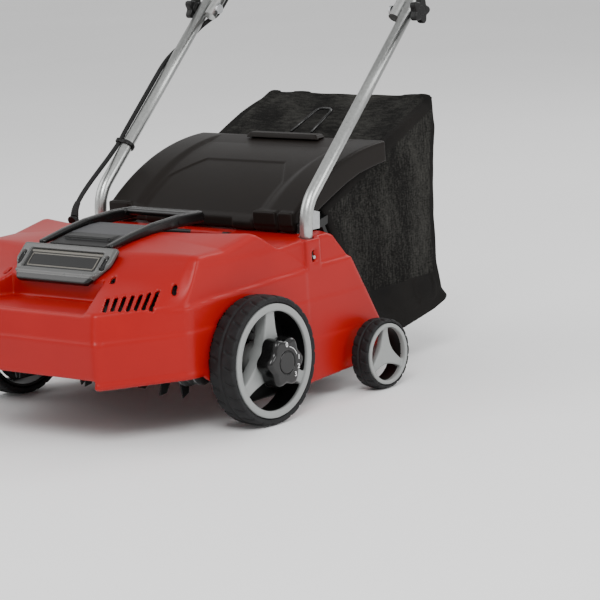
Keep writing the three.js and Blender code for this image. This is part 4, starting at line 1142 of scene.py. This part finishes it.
def grip_piece():
    """The foam sleeve on the bow."""
    pitch = 1.2
    low, high = (-123, 805, 920), (123, 837, 953)
    X, Y, Z = grid(low, high, pitch)
    r = np.hypot(Y - GRIP[0], Z - GRIP[1])
    foam = smax(r - 12.8, np.abs(X) - 119.6, 3)
    mesh_of(
        "foam_grip", foam, low, pitch, [MATERIALS["rubber"]], "handle", ["grip_sleeve"]
    )


def small_parts():
    """The pieces on the handle, and the hub cap."""
    switch_piece()
    bracket_piece()
    for word, side in (("right", 1), ("left", -1)):
        knob_piece(word, side)
    hub_cap_piece()
    grip_piece()


# ---------------------------------------------------------------- catch bag
BAG_SIDE = [
    (250, 292), (344, 110), (350, 84), (400, 61), (456, 61), (540, 78), (572, 88), (579, 96),
    (564, 112), (554, 160), (551, 240), (557, 330), (567, 396), (577, 436), (572, 440),
]


def bag_piece():
    """The sewn bag: one shell with a slight belly, folds, a sagging top, hems and an open mouth."""
    pitch = 2.9
    low, high = (-204, 222, 50), (204, 590, 452)
    X, Y, Z = grid(low, high, pitch)
    across = np.abs(X)
    side = outline_field(Y, Z, BAG_SIDE)
    rng = np.random.default_rng(7)
    folds = 0 * Y * Z
    for _ in range(10):
        ky, kz = rng.normal(0, 0.045, 2)
        folds = folds + np.sin(ky * Y + kz * Z + rng.uniform(0, 6.3)) * 0.45
    cross = 0 * X * Z
    for _ in range(8):
        kx, kz = rng.normal(0, 0.05, 2)
        cross = cross + np.sin(kx * X + kz * Z + rng.uniform(0, 6.3)) * 0.4
    belly = np.exp(-(((Y - 460) / 80) ** 2 + ((Z - 210) / 110) ** 2)) * 4
    wall = across - 188 - (belly + folds) * np.clip(-side / 35, 0, 1)
    sag = 5 * np.exp(-((X / 130) ** 2)) * np.clip((Z - 240) / 120, 0, 1)
    corner = 8 + 20 * np.clip((Y - 500) / 50, 0, 1) * np.clip((Z - 385) / 40, 0, 1)
    outer = smax(side + 1.5 + sag * 0.6 + cross, wall, corner)
    hem = np.clip((side + 15) / 1.5, 0, 1) * np.clip((across - 150) / 4, 0, 1)
    hem = np.maximum(hem, np.clip((across - 171) / 1.5, 0, 1) * np.clip((side + 30) / 4, 0, 1))
    outer = outer - 1.1 * hem
    shell = smax(outer, -(outer + 3.4), 0.5)
    mouth = outline_field(Y, Z, [(222, 296), (318, 108), (366, 122), (272, 290)])
    shell = cut(shell, smax(mouth, across - 180, 2), 1)

    def pick(x, y, z):
        inner = -outline_field(y, z, BAG_SIDE)
        hem = np.where(np.abs(x) > 176, inner < 15, np.abs(x) > 172)
        return hem | (z < 138 + (y - 400) * 0.03)

    mesh_of(
        "bag_cloth_shell", shell, low, pitch, [MATERIALS["bag_mesh"], MATERIALS["bag_hem"]],
        "bag", ["bag_fabric"], pick,
    )


make_camera()
make_studio()
dress_frame()
deck_piece()
bezel_piece()
badge_piece()
cover_piece()
carry_handle_piece()
flap_piece()
flap_grip_piece()
wheels()
dial_piece()
dial_marks()
tubes()
motor_lead()
wire_loop()
lead_clip()
small_parts()
bag_piece()
